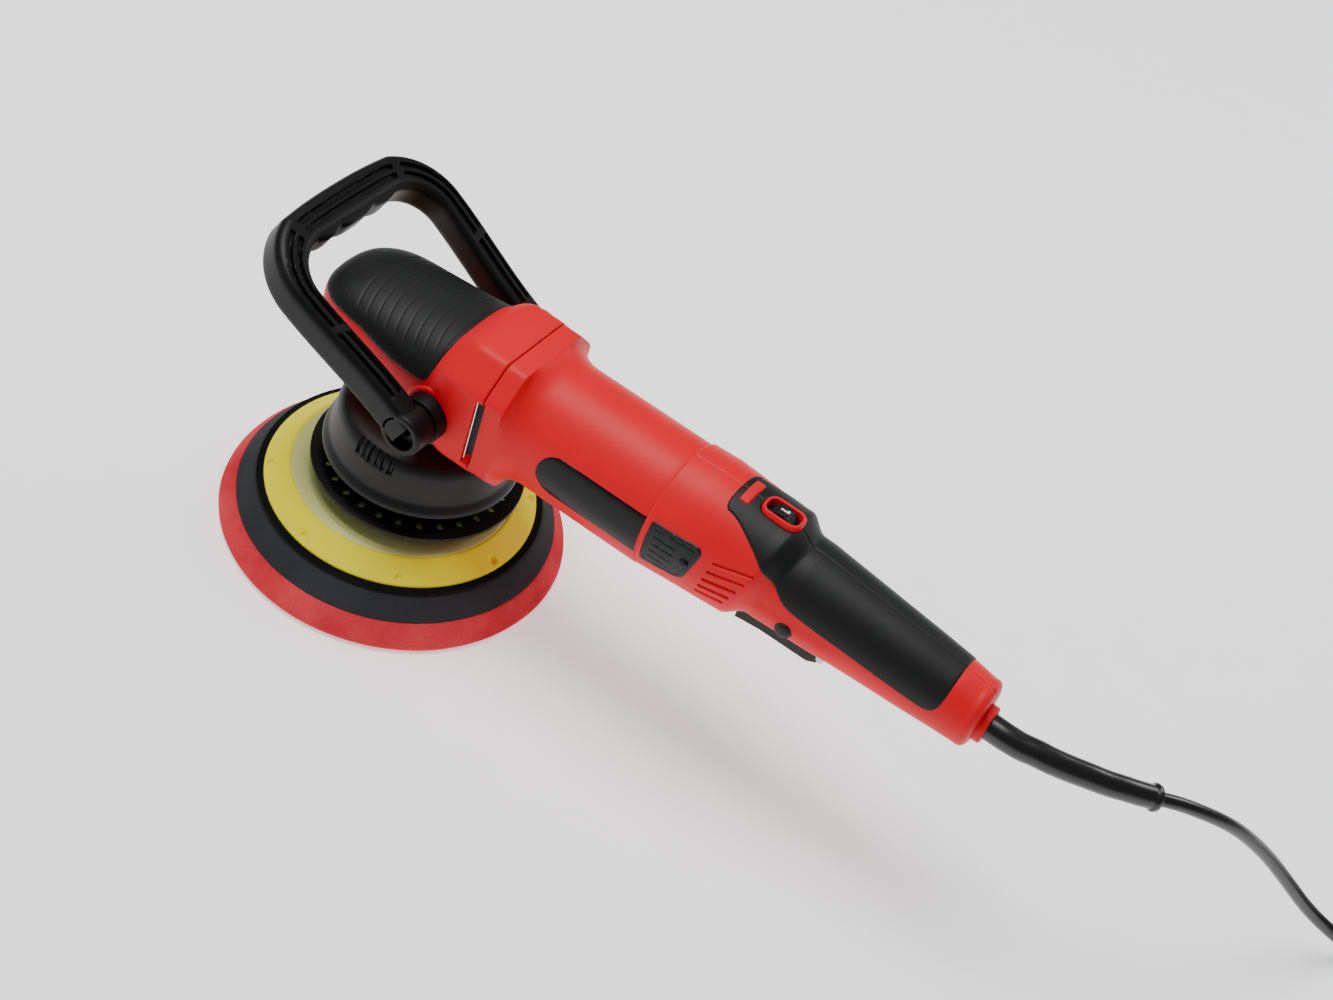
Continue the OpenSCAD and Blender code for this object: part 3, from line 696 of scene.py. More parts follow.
# ------------------------------------------------------------------ sub-assemblies
@dataclass
class Head:
    """Gear head: red shell, rubber grip over its nose and the side collars of the front handle."""

    groove_pitch: float = 6.2
    groove_depth: float = 0.3
    pivot: Point2 = (19.6, 124.5)

    def slot_depth(self, p: np.ndarray) -> np.ndarray:
        """Depth of the upright air slots on both sides at the flange."""
        outline = np.array([(44.4, 111), (49.8, 111), (49.8, 152.5), (44.4, 152.5)])
        d = inside_distance(p[..., 0], p[..., 2], outline)
        return 4.5 * smooth(-0.2, 0.7, d) * (np.abs(p[..., 1]) > 30)

    def shell(self) -> None:
        """Build the red shell."""
        x = stations((-70.9, -66, 0.5), (-66, 43, 1.0), (43, 48.3, 0.45))
        turn = full_turn(1.1)
        base = HEAD.grid(x, turn)
        lift = -self.slot_depth(base) - 0.5 * smooth(47.6, 48.3, base[..., 0])
        verts, faces = loft(HEAD.grid(x, turn, lift))
        make_piece("head_shell", verts, faces, RED_ABS, Body.HOUSING, ["head_cover"])

    def grip(self) -> None:
        """Build the rubber grip with its faint cross grooves."""
        outline = softened([(-80, 143), (-60, 143.5), (-37, 144.5), (-23, 141.5), (-11, 139.3), (5, 139), (11.5, 140.3),
                            (14.2, 146), (15.6, 165), (17, 200), (-80, 200)], 2)

        def inside(p: np.ndarray) -> np.ndarray:
            """Distance inside the grip's side outline."""
            return inside_distance(p[..., 0], p[..., 2], outline)

        def grooves(p: np.ndarray) -> np.ndarray:
            """Depth of the cross grooves on the top of the grip."""
            x, y, z = p[..., 0], np.abs(p[..., 1]), p[..., 2]
            curved = (x - 0.007 * y ** 2 + 52) / self.groove_pitch
            cut = 1 - smooth(0.03, 0.11, np.abs(curved - np.round(curved)))
            zone = (smooth(-49, -45, x) * (1 - smooth(7, 10, x)) * smooth(149.5, 151, z)
                    * (0.25 + 0.75 * smooth(4, 17, y)))
            return -self.groove_depth * cut * zone

        x = stations((-70.8, -66, 0.4), (-66, 19, 0.5))
        turn = np.linspace(-2.05, 2.05, 190)
        verts, faces = HEAD.raised(x, turn, inside, 0.9, 1.6, grooves)
        make_piece("head_grip_skin", verts, faces, GRIP_RUBBER, Body.HOUSING, ["head_grip"])

    def collars(self) -> None:
        """Build the red bevelled rings round the handle's pivots."""
        ring = filleted([(11.9, 0, 0.3), (16.2, 0, 0.3), (15.6, 2.6, 0.8), (14.3, 3.4, 0.7), (11.9, 3.4, 0.4)])
        for name, side in (("left", -1), ("right", 1)):
            verts, faces = turned_y(lathe(ring, closed=True, count=96), (self.pivot[0], -35.4, self.pivot[1]))
            make_piece(f"pivot_collar_{name}", verts * (1, -side, 1), faces, RED_ABS, Body.HOUSING)

    def slots(self) -> None:
        """Build the dark lining and bright strip in the side slots."""
        for name, side in (("left", -1), ("right", 1)):
            verts, faces = rounded_box((44.2, 34.6, 111.2), (50, 36.2, 152.3), 0.3)
            make_piece(f"slot_lining_{name}", verts * (1, side, 1), faces, GRIP_RUBBER, Body.HOUSING)
            verts, faces = rounded_box((44.9, 36.0, 112), (45.5, 38.6, 151.5), 0.2)
            make_piece(f"slot_strip_{name}", verts * (1, side, 1), faces, CHROME, Body.HOUSING)

    def build(self) -> None:
        """Build every piece of the head."""
        self.shell()
        self.grip()
        self.collars()
        self.slots()


@dataclass
class MotorHousing:
    """Red motor tube with its eight-sided flange and a blank glossy label on each side."""

    label_x: Point2 = (84.3, 147.2)
    label_z: Point2 = (121.4, 145.3)
    label_round: float = 11.9

    def tube(self) -> None:
        """Build the flange, neck and tube."""
        x = stations((48.7, 50.5, 0.45), (50.5, 76, 0.7), (76, 147.9, 2.0))
        turn = full_turn(1.1)
        base = MOTOR.grid(x, turn)
        lift = (-Head().slot_depth(base) - 0.5 * (1 - smooth(48.7, 49.4, base[..., 0]))
                - 0.4 * smooth(147.3, 147.9, base[..., 0]))
        verts, faces = loft(MOTOR.grid(x, turn, lift))
        make_piece("motor_tube", verts, faces, RED_ABS, Body.HOUSING, ["motor_housing"], 30)

    def labels(self) -> None:
        """Build the blank labels."""
        (x0, x1), (z0, z1), r = self.label_x, self.label_z, self.label_round
        bow = [(x0 + r - r * math.sin(a), (z0 + z1) / 2 + r * math.cos(a)) for a in np.linspace(0, math.pi, 25)]
        outline = np.array([(x1, z1)] + bow + [(x1, z0)])
        x = stations((x0 - 2, x0 + 14, 0.5), (x0 + 14, x1 - 1, 2.0), (x1 - 1, x1 + 0.4, 0.4))
        for name, side in (("left", 1), ("right", -1)):
            turn = side * np.linspace(1.0, 2.0, 74)
            verts, faces = MOTOR.raised(x, turn, lambda p: inside_distance(p[..., 0], p[..., 2], outline), 0.15, 1.0)
            make_piece(f"label_plate_{name}", verts, faces, LABEL_FILM, Body.HOUSING,
                       [f"label_{name}"])

    def build(self) -> None:
        """Build the tube and the labels."""
        self.tube()
        self.labels()


@dataclass
class RearHousing:
    """Rear half shells, rubber overgrip, brush covers and speed dial window."""

    vents: int = 5
    vent_width: float = 2.0
    dial_x: float = 202.0
    window_flat: Point2 = (5.8, 1.6)
    window_round: float = 5.8
    pocket_half: Point2 = (10.4, 4.4)
    pocket_depth: float = 17.0
    rubber: Tuple[Point2, ...] = ((177, 0), (177, 27), (184, 28.5), (190, 33), (196, 39), (202.6, 45.5), (209, 54),
                                  (213, 57.5), (217.3, 60.5), (223.5, 72), (229, 78.5), (245, 82), (260, 83.5),
                                  (285, 87.5), (306, 90), (311, 88.5), (314.5, 80), (315.7, 60), (315.7, 31),
                                  (315.5, 0))

    def vent_depth(self, p: np.ndarray) -> np.ndarray:
        """Depth of the slanted air slots behind the brush cover."""
        x, z = p[..., 0], p[..., 2]
        depth = np.zeros(x.shape)
        tilt = math.radians(12)
        for i in range(self.vents):
            u = (x - 183.5 - i) * math.cos(tilt) + (z - 121.5 - 5.6 * i) * math.sin(tilt)
            v = -(x - 183.5 - i) * math.sin(tilt) + (z - 121.5 - 5.6 * i) * math.cos(tilt)
            length = 17 + 1.2 * i
            d = self.vent_width / 2 - np.hypot(u - np.clip(u, 1.1, length - 1.1), v)
            depth = np.maximum(depth, 1.2 * smooth(-0.15, 0.5, d))
        return depth

    def shells(self) -> None:
        """Build the two red halves."""
        x = stations((148, 149, 0.35), (149, 181, 1.2), (181, 212, 0.5), (212, 228, 0.8), (228, 326, 1.5),
                     (326, 334.1, 0.5))
        for name, side in (("left", 1), ("right", -1)):
            turn = np.concatenate([[0.0, 0.012, 0.03], np.linspace(0.06, 0.85, 24), np.linspace(0.87, 2.0, 84),
                                   np.linspace(2.04, math.pi - 0.06, 28), [math.pi - 0.03, math.pi - 0.012, math.pi]])
            base = REAR.grid(x, turn * side)
            seam = 0.35 * np.clip(1 - np.abs(base[..., 1]) / 0.6, 0, 1)
            pocket = np.minimum(self.pocket_half[0] - np.abs(base[..., 0] - self.dial_x),
                                self.pocket_half[1] - np.abs(base[..., 1])) * (base[..., 2] > 150)
            lift = (-self.vent_depth(base) - seam - 0.4 * (1 - smooth(148, 148.7, base[..., 0]))
                    - self.pocket_depth * smooth(0, 0.5, pocket))
            ring = REAR.grid(x, turn * side, lift)
            verts, faces = loft(ring)
            make_piece(f"rear_half_{name}", verts, faces, RED_ABS, Body.HOUSING,
                       [f"rear_shell_{name}"], 32)

    def overgrip(self) -> None:
        """Build the rubber overgrip."""
        half = [(px, a * 0.42) for px, a in self.rubber]
        outline = softened(half + [(px, -a) for px, a in half[::-1]], 2)
        x = stations((172, 234, 0.6), (234, 305, 1.2), (305, 320, 0.6))
        turn = np.concatenate([-np.linspace(1.72, 0.05, 120), [-0.03, -0.014, 0, 0.014, 0.03],
                               np.linspace(0.05, 1.72, 120)])
        xx, aa = np.meshgrid(x, turn, indexing="ij")
        inside = inside_distance(xx, np.degrees(aa) * 0.42, outline)
        base = REAR.grid(x, turn)
        seam = -0.4 * np.clip(1 - np.abs(base[..., 1]) / 0.6, 0, 1)
        past_x = np.maximum(np.abs(base[..., 0] - self.dial_x) - self.window_flat[0], 0)
        past_y = np.maximum(np.abs(base[..., 1]) - self.window_flat[1], 0)
        window = np.hypot(past_x, past_y) - self.window_round
        lift = np.clip(inside, -1.4, 0.55) + seam
        lift = np.where(base[..., 2] > 140, np.minimum(lift, np.clip(window + 0.2, -2.6, 0.55)), lift)
        verts, faces = slab(REAR.grid(x, turn, lift), REAR.grid(x, turn, -3.4))
        make_piece("rear_overgrip", verts, faces, GRIP_RUBBER, Body.HOUSING, ["rear_grip"])

    def covers(self) -> None:
        """Build the brush covers with their relief lines."""
        outline = np.array(filleted([(151.2, 120, 2), (173.4, 122.8, 4), (176.6, 126, 3), (181.2, 145, 3),
                                     (178.8, 147.8, 2), (151.2, 146.3, 2)]))
        rim = np.array(filleted([(153.8, 122.8, 2), (172, 125, 3), (174, 127.4, 2), (178, 143.6, 2), (176.6, 145.2, 2),
                                 (153.8, 143.9, 2)]))

        def lines(p: np.ndarray) -> np.ndarray:
            """Fine grooves across the cover and round its rim."""
            d = inside_distance(p[..., 0], p[..., 2], rim)
            edge = np.clip(1 - np.abs(d) / 0.45, 0, 1)
            bars = sum(np.clip(1 - np.abs(p[..., 2] - 127.5 - 4.2 * i) / 0.5, 0, 1) for i in range(4))
            return -0.45 * np.maximum(edge, bars * (d > 1.2) * (p[..., 0] < 168.5))

        x = stations((149.5, 184, 0.5))
        for name, side in (("left", 1), ("right", -1)):
            verts, faces = REAR.raised(x, side * np.linspace(0.98, 2.06, 84),
                                       lambda p: inside_distance(p[..., 0], p[..., 2], outline), 0.7, 1.2, lines)
            make_piece(f"brush_hatch_{name}", verts, faces, COVER_NYLON, Body.HOUSING,
                       [f"brush_cover_{name}"])
            head = filleted([(0, 0, 0), (2.5, 0, 0.2), (2.5, 1.1, 0.5), (1.5, 1.5, 0.3), (0, 1.5, 0)])
            verts, faces = turned_y(lathe(head, count=48), (174.5, -34.9, 136))
            make_piece(f"hatch_screw_{name}", verts * (1, side, 1), faces, SCREW_STEEL, Body.HOUSING)

    def window(self) -> None:
        """Build the dial's red surround, its figure and the red inset bar in front of it."""
        def oblong(lx: float, ly: float, r: float, z: float) -> List[Tuple[float, float, float]]:
            """Rounded oblong at one height, centred on the dial."""
            return [(self.dial_x + math.copysign(lx / 2 - r, math.cos(a)) + r * math.cos(a),
                     math.copysign(ly / 2 - r, math.sin(a)) + r * math.sin(a), z)
                    for a in (np.arange(64) + 0.5) * 2 * math.pi / 64]
        rows = [oblong(18.4, 9.6, 3.4, 163.2), oblong(18.4, 9.6, 3.4, 168.2), oblong(19.2, 10.4, 3.8, 169.1),
                oblong(21.6, 13.0, 5, 169.2), oblong(22.8, 14.4, 5.6, 168.3), oblong(23.2, 14.9, 5.9, 163.2)]
        verts, faces = ring_solid(np.array(rows))
        make_piece("dial_surround", verts, faces, RED_ABS, Body.HOUSING,
                   ["dial_bezel"])
        bar = np.array(filleted([(180, -9, 1.4), (186.2, -9, 1.4), (186.2, 9.5, 1.4), (180, 9.5, 1.4)]))
        verts, faces = REAR.raised(np.arange(178.5, 188, 0.25), np.linspace(-0.33, 0.33, 90),
                                   lambda p: inside_distance(p[..., 0], p[..., 1], bar), 1.35, 1.2, edge=1.6)
        make_piece("grip_inset", verts, faces, RED_ABS, Body.HOUSING)
        verts, faces = joined(rounded_box((199.6, -0.45, 168.9), (204.4, 0.45, 169.75), 0.1),
                              rounded_box((203.2, 0.3, 168.9), (204.4, 1.5, 169.7), 0.1))
        make_piece("dial_figure", verts, faces, DIAL_PRINT, Body.DIAL)

    def cable_boss(self) -> None:
        """Build the round boss that the cord's sleeve comes out of."""
        ring = filleted([(7.2, 0, 0.2), (10.4, 0, 0.2), (10.2, 6.6, 0.9), (8.4, 6.8, 0.5), (7.2, 6.4, 0.3)])
        v, faces = lathe(ring, closed=True, count=96)
        verts = np.stack([332 + v[:, 2], v[:, 0], 125.5 + v[:, 1]], 1)
        make_piece("cable_boss", verts, faces, RED_ABS, Body.HOUSING)

    def build(self) -> None:
        """Build every piece of the rear housing."""
        self.cable_boss()
        self.shells()
        self.overgrip()
        self.covers()
        self.window()


@dataclass
class FrontHandle:
    """Hoop-shaped front handle with finger swells on its bar and twin grooves on its top face."""

    gap: float = 47.3
    leg: float = 15.4
    reach: float = 123.0
    bar: float = 20.7
    thick: float = 20.0
    splay: float = 4.2
    outer_r: float = 38.4
    inner_r: float = 22.8
    tilt: float = 26.4
    pitch: float = 18.0
    swell: float = 1.9
    bow: float = 330.0
    corner: float = 4.6
    groove_at: float = 2.6
    groove_half: float = 1.55
    groove_depth: float = 2.3
    pivot: Tuple[float, float, float] = (19.6, 0.0, 124.5)

    def outline(self, half: float, top: float, r: float, counts: Tuple[int, int, int]) -> np.ndarray:
        """Half of an arch, from the foot of a leg to the middle of the bar.

        Args:
            half: Half width of the arch.
            top: Height of its bar.
            r: Radius of its corner.
            counts: Points on the leg, the corner and the half bar.

        Returns:
            Points across and along the reach.
        """
        leg = [(half, v) for v in np.linspace(0, top - r, counts[0], endpoint=False)]
        turn = [(half - r + r * math.cos(a), top - r + r * math.sin(a))
                for a in np.linspace(0, math.pi / 2, counts[1], endpoint=False)]
        bar = [(u, top) for u in np.linspace(half - r, 0, counts[2])]
        return np.array(leg + turn + bar)

    def placed(self, u: np.ndarray, v: np.ndarray, w: np.ndarray) -> np.ndarray:
        """Points of the handle's own plane in the row frame: u across, v along the reach, w up."""
        a = math.radians(self.tilt)
        u = u + np.sign(u) * self.splay * smooth(15, 85, v)
        return np.stack([self.pivot[0] - v * math.cos(a) + w * math.sin(a), u,
                         self.pivot[2] + v * math.sin(a) + w * math.cos(a)], -1)

    def hoop(self) -> None:
        """Build the hoop."""
        counts = (120, 110, 40)
        inner = self.outline(self.gap, self.reach - self.bar, self.inner_r, counts)
        outer = self.outline(self.gap + self.leg, self.reach, self.outer_r, counts)
        bow = self.reach - self.bow + np.sqrt(self.bow ** 2 - outer[:, 0] ** 2)
        outer[:, 1] = np.minimum(outer[:, 1], bow)
        swell = self.swell * np.abs(np.sin(math.pi * (inner[:, 0] + 9) / self.pitch))
        swell = swell * (1 - smooth(26.5, 28, inner[:, 0]))
        swell = swell * (inner[:, 1] > self.reach - self.bar - 6)
        swell = np.concatenate([swell[:-1], swell[::-1]])
        inner = np.concatenate([inner[:-1], (inner * (-1, 1))[::-1]])
        outer = np.concatenate([outer[:-1], (outer * (-1, 1))[::-1]])
        middle = (inner + outer) / 2
        run = np.concatenate([[0], np.cumsum(np.linalg.norm(np.diff(middle, axis=0), axis=1))])
        mirrored = np.minimum(run, run[-1] - run)
        cut = np.full(run.shape, -9.0)
        for a, b in ((17, 57), (62, 116.5), (122, run[-1] - 122)):
            cut = np.maximum(cut, np.minimum(mirrored - a, b - mirrored) if b < run[-1] / 2 + 1
                             else np.minimum(run - a, run[-1] - a - run))
        half_w = np.linalg.norm(outer - inner, axis=1) / 2
        across = (outer - inner) / (2 * half_w[:, None])
        b, corner = self.thick / 2, self.corner
        flat = np.linspace(-1, 1, 44)
        rings = []
        for i in range(len(middle)):
            a = half_w[i]
            top = [(f * (a - corner), b) for f in flat]
            arc = [(a - corner + corner * math.sin(t), b - corner + corner * math.cos(t))
                   for t in np.linspace(0, math.pi / 2, 7)[1:]]
            side = [(a, h) for h in np.linspace(b - corner, -b + corner, 6)[1:-1]]
            low = [(p, -q) for p, q in arc[::-1]]
            under = [(f * (a - corner), -b) for f in flat[::-3]]
            left = [(-p, q) for p, q in (arc + side + low)][::-1]
            sec = np.array(top + arc + side + low + under + left)
            groove = np.zeros(len(sec))
            n = len(top)
            for centre in (-self.groove_at, self.groove_at):
                d = np.minimum(self.groove_half - np.abs(sec[:n, 0] - centre - 0.4), cut[i])
                groove[:n] = np.maximum(groove[:n], self.groove_depth * smooth(-0.15, 0.5, d))
            crown = 0.5 * (1 - (sec[:, 0] / a) ** 2) * (sec[:, 1] > 0)
            reach = sec[:, :1] - swell[i] * smooth(-0.35 * a, -a, sec[:, :1]) * smooth(b + 1, b - 5, sec[:, 1:2])
            p = middle[i] + across[i] * reach
            rings.append(self.placed(p[:, 0], p[:, 1], sec[:, 1] - groove + crown))
        verts, faces = loft(np.array(rings))
        bosses = []
        foot = filleted([(4.3, 0, 0.1), (11.8, 0, 1.5), (12.2, 15.4, 2.2), (8.6, 15.4, 0.6), (8.6, 5.2, 0.2),
                         (4.3, 5.2, 0.2)])
        stub = filleted([(4.3, 0, 0.1), (12.15, 0, 0.1), (12.15, -2.2, 0.1), (13, -2.2, 0.3), (13, 6, 0.2),
                         (4.3, 6, 0.1)])
        for side in (-1, 1):
            for profile, start in ((foot, self.gap), (stub, self.gap - 5.8)):
                v, f = turned_y(lathe(profile, closed=True, count=96), (self.pivot[0], -start, self.pivot[2]))
                bosses.append((v * (1, -side, 1), f))
        hoop = joined((verts, faces), *bosses)
        make_piece("handle_hoop", hoop[0], hoop[1], HANDLE_NYLON, Body.HANDLE, ["bail_handle"], 40)

    def build(self) -> None:
        """Build the handle."""
        self.hoop()


@dataclass
class Bell:
    """Black bell over the counterweight, with short upright slots on its left side."""

    slots: int = 6
    first_slot: float = -10.0
    slot_pitch: float = 4.2
    slot_half: Point2 = (1.5, 4.8)
    slot_height: float = 84.4
    slot_depth: float = 1.9

    def build(self) -> None:
        """Build the bell."""
        profile = filleted([(54.6, 60.3, 0.3), (54.6, 62.4, 1), (53.2, 64.8, 1.2), (51.6, 67, 1.5), (50.6, 76, 3),
                            (49.3, 85, 3), (46.4, 89.2, 2.5), (41, 90.8, 2), (36, 91.1, 0.5), (30, 91.3, 0.3),
                            (30, 88.5, 0.2), (41, 88, 1), (46, 84, 2), (48, 76, 2), (49.4, 66, 1),
                            (52.2, 61.6, 1), (52.2, 60.3, 0.3)], 4)
        dense = finer(profile + profile[:1], 0.6, lambda a: a[0] > 40 and 70 < a[1] < 91)

        def cut(radius: np.ndarray, height: np.ndarray, angle: np.ndarray) -> np.ndarray:
            """Depth of the short upright slots."""
            depth = np.zeros(radius.shape)
            for i in range(self.slots):
                x = self.first_slot + self.slot_pitch * i
                d = np.minimum(self.slot_half[0] - np.abs(radius * np.cos(angle) - x),
                               self.slot_half[1] - np.abs(height - self.slot_height))
                depth = np.maximum(depth, self.slot_depth * smooth(0, 0.5, d) * (np.sin(angle) < 0) * (radius > 45.8))
            return -depth

        verts, faces = lathe(dense, count=480, wobble=cut, closed=True)
        make_piece("bell", verts, faces, BLACK_NYLON, Body.HOUSING, ["shroud"])


@dataclass
class PadStack:
    """Backing plate, its foam, the hook layer and the two-layer foam pad."""

    centre: Point2 = (6 * math.cos(math.radians(216)), 6 * math.sin(math.radians(216)))
    dimples: int = 8

    def foam_wobble(self, amount: float) -> Callable[[np.ndarray, np.ndarray, np.ndarray], np.ndarray]:
        """Slight unevenness of a cut foam edge.

        Args:
            amount: Largest change of radius.

        Returns:
            A function of radius, height and angle.
        """
        def change(radius: np.ndarray, height: np.ndarray, angle: np.ndarray) -> np.ndarray:
            """Change of radius near the edge."""
            wave = np.sin(3 * angle + 0.4) + 0.6 * np.sin(7 * angle + height / 5) + 0.3 * np.sin(17 * angle + 1)
            return amount * wave * (radius > 60)
        return change

    def plate(self) -> None:
        """Build the resin plate and the yellow foam with its dimples."""
        disc = filleted([(0, 31, 0), (62, 31, 0.4), (62, 37.6, 1.0), (52, 37.7, 2), (48, 37.2, 2), (0, 37.2, 0)])
        verts, faces = lathe(disc, self.centre, 192)
        make_piece("resin_plate", verts, faces, PLATE_RESIN, Body.PAD, ["backing_plate"])
        edge = filleted([(0, 28, 0), (75.8, 28, 0.5), (75.5, 29.4, 0.5), (63.2, 37.3, 0.8), (61.9, 37.3, 0.3),
                         (61.9, 30.8, 0.3), (0, 30.8, 0)])
        dense = finer(edge, 0.7, lambda a: a[0] > 62.9) + edge[-1:]
        verts, faces = lathe(dense, self.centre, 540)
        v = verts - (self.centre[0], self.centre[1], 0)
        r = np.hypot(v[:, 0], v[:, 1])
        angle = np.arctan2(v[:, 1], v[:, 0])
        step = 360 / self.dimples
        first, ring, underside = 8, 71.6, 29.6
        nearest = np.radians(-first + step * np.round((np.degrees(angle) + first) / step))
        d = np.hypot(r - ring, ring * np.sin(angle - nearest)) + 99 * (v[:, 2] < underside)
        verts[:, 2] -= 2.6 * (1 - smooth(1.2, 2.6, d))
        foam = make_piece("yellow_foam_ring", verts, faces, YELLOW_FOAM, Body.PAD, ["backing_foam"])

    def hooks(self) -> None:
        """Build the hook layer with its ragged edge."""
        disc = filleted([(0, 26, 0), (79.8, 26, 0.3), (79.6, 27.95, 0.5), (0, 27.95, 0)], 3)
        verts, faces = lathe(disc, self.centre, 480, self.foam_wobble(0.05))
        make_piece("hook_disc", verts, faces, HOOK_FABRIC, Body.PAD, ["hook_layer"])

    def foams(self) -> None:
        """Build the grey and the red foam."""
        grey = filleted([(0, 14.5, 0), (89.3, 14.5, 0.6), (86.6, 17.6, 2), (81.0, 24.6, 2), (79.4, 25.95, 0.8),
                         (0, 25.95, 0)])
        verts, faces = lathe(grey, self.centre, 256, self.foam_wobble(0.12))
        make_piece("grey_foam_disc", verts, faces, GREY_FOAM, Body.PAD, ["pad_foam_base"])
        red = filleted([(0, 0, 0), (95.6, 0, 1.4), (97.3, 2.0, 1.6), (96.9, 4.8, 2), (89.6, 14.45, 0.6),
                        (0, 14.45, 0)])
        verts, faces = lathe(red, self.centre, 256, self.foam_wobble(0.14))
        make_piece("red_foam_disc", verts, faces, RED_FOAM, Body.PAD, ["pad_foam"])

    def build(self) -> None:
        """Build every layer."""
        self.plate()
        self.hooks()
        self.foams()


@dataclass
class MainsCord:
    """Cord with its bend sleeve, wound coil, tie and plug."""

    diameter: float = 7.6
    coil_mid: float = 90.0
    turns: int = 3
    layers: int = 3
    sleeve: Tuple[Tuple[float, float, float], ...] = (
        (331, 0, 125.5), (339, 0, 125.5), (348, 0, 125.5), (356, 1, 125), (364, 3, 125), (372, 5, 124.5),
        (381, 8.5, 123.5), (390, 12.5, 122.5), (399, 17, 121), (407, 21.5, 120), (415, 26.5, 118.5),
        (423, 32, 117))
    route: Tuple[Tuple[float, float, float], ...] = (
        (423, 32, 117), (434, 40, 114.5), (445, 48.5, 110), (456, 58, 103.5), (466, 67.5, 95), (476, 77, 84.5),
        (486, 86, 73), (496, 94, 61), (506, 101.5, 49), (516, 108.5, 37.5), (527, 115.5, 27), (539, 122, 18),
        (552, 127.5, 10.5), (566, 132, 6), (581, 135, 4), (596, 136.5, 3.9), (611, 137, 3.9))

    @property
    def centre(self) -> Point2:
        """Middle of the coil on the floor."""
        return 611.0, 137.0 + self.outer

    @property
    def outer(self) -> float:
        """Radius of the outermost turn's middle line."""
        return self.coil_mid / 2 + 4 / 3 * self.diameter

    def winding(self, turn: float) -> Tuple[float, float]:
        """Radius and height of the winding after a number of turns."""
        layer = min(int(turn // self.turns), self.layers - 1)
        part = turn - layer * self.turns
        run = self.turns - 1 / 3
        span = run * self.diameter
        inwards = min(part / run, 1.0)
        inwards = inwards if layer % 2 == 0 else 1 - inwards
        rise = float(smooth(run, self.turns, np.array(part)))
        step = self.diameter if layer < self.layers - 1 else 29.6 - 3.8 - 2 * self.diameter
        return self.outer - span * inwards, 3.8 + layer * self.diameter + step * rise

    def path(self) -> np.ndarray:
        """Middle line of the cord from the sleeve to the plug."""
        free = spline(self.route, 3.0)
        count = int(self.turns * self.layers * 2 * math.pi * self.coil_mid / 2 / 3.2)
        coil = []
        for k in range(1, count + 1):
            turn = self.turns * self.layers * k / count
            r, z = self.winding(turn)
            a = -math.pi / 2 + 2 * math.pi * turn
            coil.append((self.centre[0] + r * math.cos(a), self.centre[1] + r * math.sin(a), z))
        return np.concatenate([free, np.array(coil)])

    def bend_sleeve(self) -> None:
        """Build the tapered sleeve with its end collar."""
        line = spline(self.sleeve, 1.2)
        run = np.concatenate([[0], np.cumsum(np.linalg.norm(np.diff(line, axis=0), axis=1))])
        radius = 7.3 - 1.1 * run / run[-1]
        collar = smooth(run[-1] - 3.4, run[-1] - 2.9, run) * (1 - 0.5 * smooth(run[-1] - 0.6, run[-1], run))
        radius = radius + 1.1 * collar
        radius[0] -= 0.3
        verts, faces = tube(line, radius, 40)
        make_piece("bend_sleeve", verts, faces, CORD_PVC, Body.HOUSING, ["cord_sleeve"])

    def plug(self) -> bpy.types.Object:
        """Build the plug's body and blades."""
        x, y, z = 611.0, self.centre[1] - self.coil_mid / 2 + 4 / 3 * self.diameter, self.layers * self.diameter + 0.1
        rings = []
        turn = (np.arange(48) + 0.5) * 2 * math.pi / 48
        for along, w, h in ((0, 5.4, 5.4), (0.7, 6.0, 6.0), (5, 6.2, 6.2), (11, 8.2, 6.4), (17, 10.4, 6.6),
                            (28.5, 10.9, 6.7), (30.4, 10.4, 6.3), (31, 9.4, 5.4)):
            p = np.array([np.sign(np.cos(turn)) * w * np.abs(np.cos(turn)) ** 0.6,
                          np.sign(np.sin(turn)) * h * np.abs(np.sin(turn)) ** 0.6])
            rings.append(np.stack([np.full(48, x + along), y + p[0], z + 6.7 + p[1]], 1))
        verts, faces = loft(np.array(rings))
        body = make_piece("plug_body", verts, faces, CORD_PVC, Body.HOUSING, ["plug"])
        blades = joined(*[rounded_box((x + 29, y + s * 6.35 - 0.8, z + 3.5), (x + 48, y + s * 6.35 + 0.8, z + 9.9), 0.4)
                          for s in (-1, 1)])
        make_piece("plug_blades", blades[0], blades[1], BRASS, Body.HOUSING).parent = body
        return body

    def tie(self) -> bpy.types.Object:
        """Build the strap round the wound turns."""
        y, w, h = self.centre[1] + self.coil_mid / 2, 11 / 3 * self.diameter / 2, self.layers * self.diameter
        outer, inner = [], []
        turn = (np.arange(64) + 0.5) * 2 * math.pi / 64
        for grow, keep in ((1.5, outer), (0.5, inner)):
            for a in turn:
                keep.append((y + math.copysign(w - 3, math.cos(a)) + (3 + grow) * math.cos(a),
                             max(h / 2 + math.copysign(h / 2 - 3, math.sin(a)) + (3 + grow) * math.sin(a), 0.02)))
        rows = []
        for x, drawn, ring in ((-6, 0, inner), (-6, 0.3, outer), (-5.6, 0, outer), (5.6, 0, outer), (6, 0.3, outer),
                               (6, 0, inner)):
            rows.append([(self.centre[0] + x, p + (y - p) * drawn / 16, q) for p, q in ring])
        verts, faces = ring_solid(np.array(rows))
        return make_piece("coil_strap", verts, faces, TIE_NYLON, Body.HOUSING,
                          ["coil_tie"])

    def build(self) -> None:
        """Build the cord and what is on it."""
        self.bend_sleeve()
        path = self.path()
        verts, faces = tube(path, np.full(len(path), self.diameter / 2 - 0.02), 16)
        cord = make_piece("mains_cord", verts, faces, CORD_PVC, Body.HOUSING, ["cord", "cord_coil"])
        self.plug()
        self.tie()


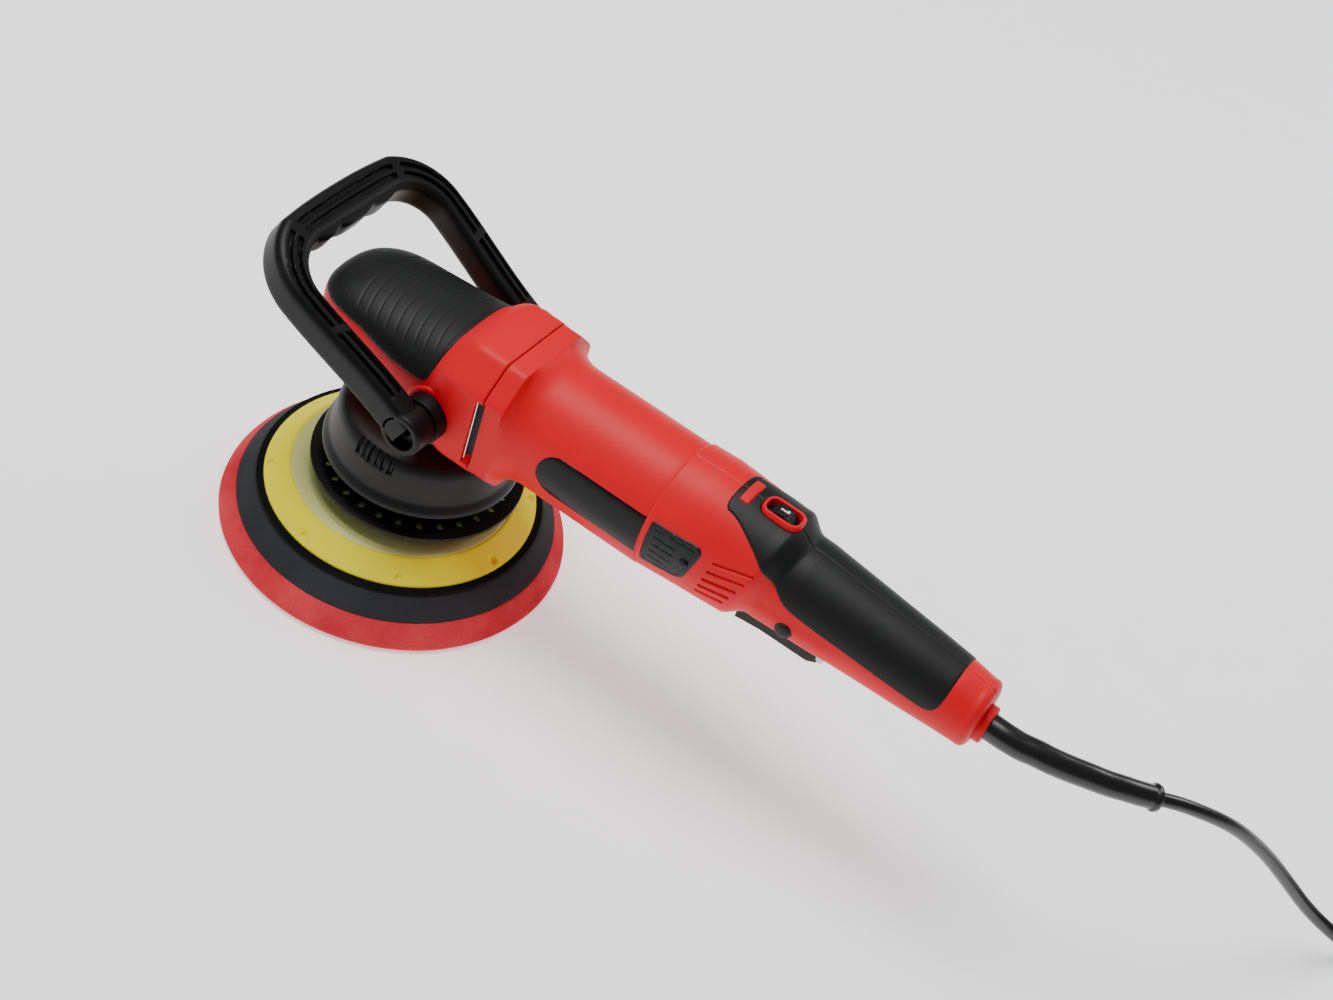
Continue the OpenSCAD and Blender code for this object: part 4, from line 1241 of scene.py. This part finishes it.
@dataclass
class Studio:
    """Camera, floor and soft lights."""

    place: Tuple[float, float, float] = (0.40944, -0.75327, 0.88633)
    right: Tuple[float, float, float] = (0.8043, 0.5381, 0.2522)
    back: Tuple[float, float, float] = (0.2426, -0.6847, 0.6873)
    lens: float = 58.86

    def camera(self) -> None:
        """Make the camera."""
        data = bpy.data.cameras.new("camera")
        data.lens, data.sensor_width, data.clip_end = self.lens, 36.0, 20.0
        camera = bpy.data.objects.new("camera", data)
        bpy.context.scene.collection.objects.link(camera)
        back = Vector(self.back).normalized()
        right = (Vector(self.right) - back * back.dot(Vector(self.right))).normalized()
        up = back.cross(right)
        turn = Matrix((right, up, back)).transposed()
        camera.matrix_world = Matrix.Translation(self.place) @ turn.to_4x4()
        bpy.context.scene.camera = camera

    def floor(self) -> None:
        """Make the paper sheet under the tool."""
        mesh = bpy.data.meshes.new("floor")
        s = 6.0
        mesh.from_pydata([(-s, -s, -0.0004), (s, -s, -0.0004), (s, s, -0.0004), (-s, s, -0.0004)], [], [(0, 1, 2, 3)])
        mesh.materials.append(PAPER.build())
        floor = bpy.data.objects.new("floor", mesh)
        bpy.context.scene.collection.objects.link(floor)

    def light(self, name: str, place: Sequence[float], size: float, power: float) -> None:
        """Add one soft light aimed at the tool.

        Args:
            name: Name of the light.
            place: Place in metres.
            size: Side of the square light.
            power: Power in watts.
        """
        data = bpy.data.lights.new(name, "AREA")
        data.size, data.energy = size, power
        lamp = bpy.data.objects.new(name, data)
        bpy.context.scene.collection.objects.link(lamp)
        lamp.location = place
        aim = Vector((0.1, 0, 0.1)) - Vector(place)
        lamp.rotation_euler = aim.to_track_quat("-Z", "Y").to_euler()

    def world(self) -> None:
        """Give the surroundings an even pale light."""
        world = bpy.data.worlds.new("studio")
        world.use_nodes = True
        world.node_tree.nodes["Background"].inputs["Color"].default_value = (1, 1, 1, 1)
        world.node_tree.nodes["Background"].inputs["Strength"].default_value = 0.24
        bpy.context.scene.world = world

    def build(self) -> None:
        """Set up the floor, the lights and the surroundings."""
        self.floor()
        self.light("key", (-0.45, 0.1, 2.3), 1.1, 56)
        self.light("side", (-1.2, -1.4, 1.1), 0.6, 2.5)
        self.light("rim", (0.9, 1.3, 1.0), 0.6, 7)
        self.world()


def dress_carried_nodes() -> None:
    """Give every CAD node that stays visible the finish of its own slot."""
    slots = {n: m["slot"] for m in frame["record"]["materials"] for n in m.get("nodes", [])}
    for name, obj in frame["nodes"].items():
        plain = obj.data.materials[0].name.removeprefix("cad_").split(".")[0] if obj.data.materials else "black_nylon"
        slot = slots.get(name) or plain
        finish = SLOT_FINISH.get(slot, BLACK_NYLON)
        if slot not in SLOT_FINISH:
            LOG.warning("node %s has slot %s without a finish", name, slot)
        obj.data.materials.clear()
        obj.data.materials.append(finish.build())
        obj.data.shade_smooth()
        obj.data.set_sharp_from_angle(angle=math.radians(28))


def main() -> None:
    """Build the scene from the camera and cord to the last finish."""
    logging.basicConfig(level=logging.INFO)
    studio = Studio()
    studio.camera()
    for piece in (MainsCord(), Head(), MotorHousing(), RearHousing(), FrontHandle(), Bell(), PadStack(), studio):
        LOG.info("building %s", type(piece).__name__)
        piece.build()
    dress_carried_nodes()


if __name__ == "__main__":
    main()
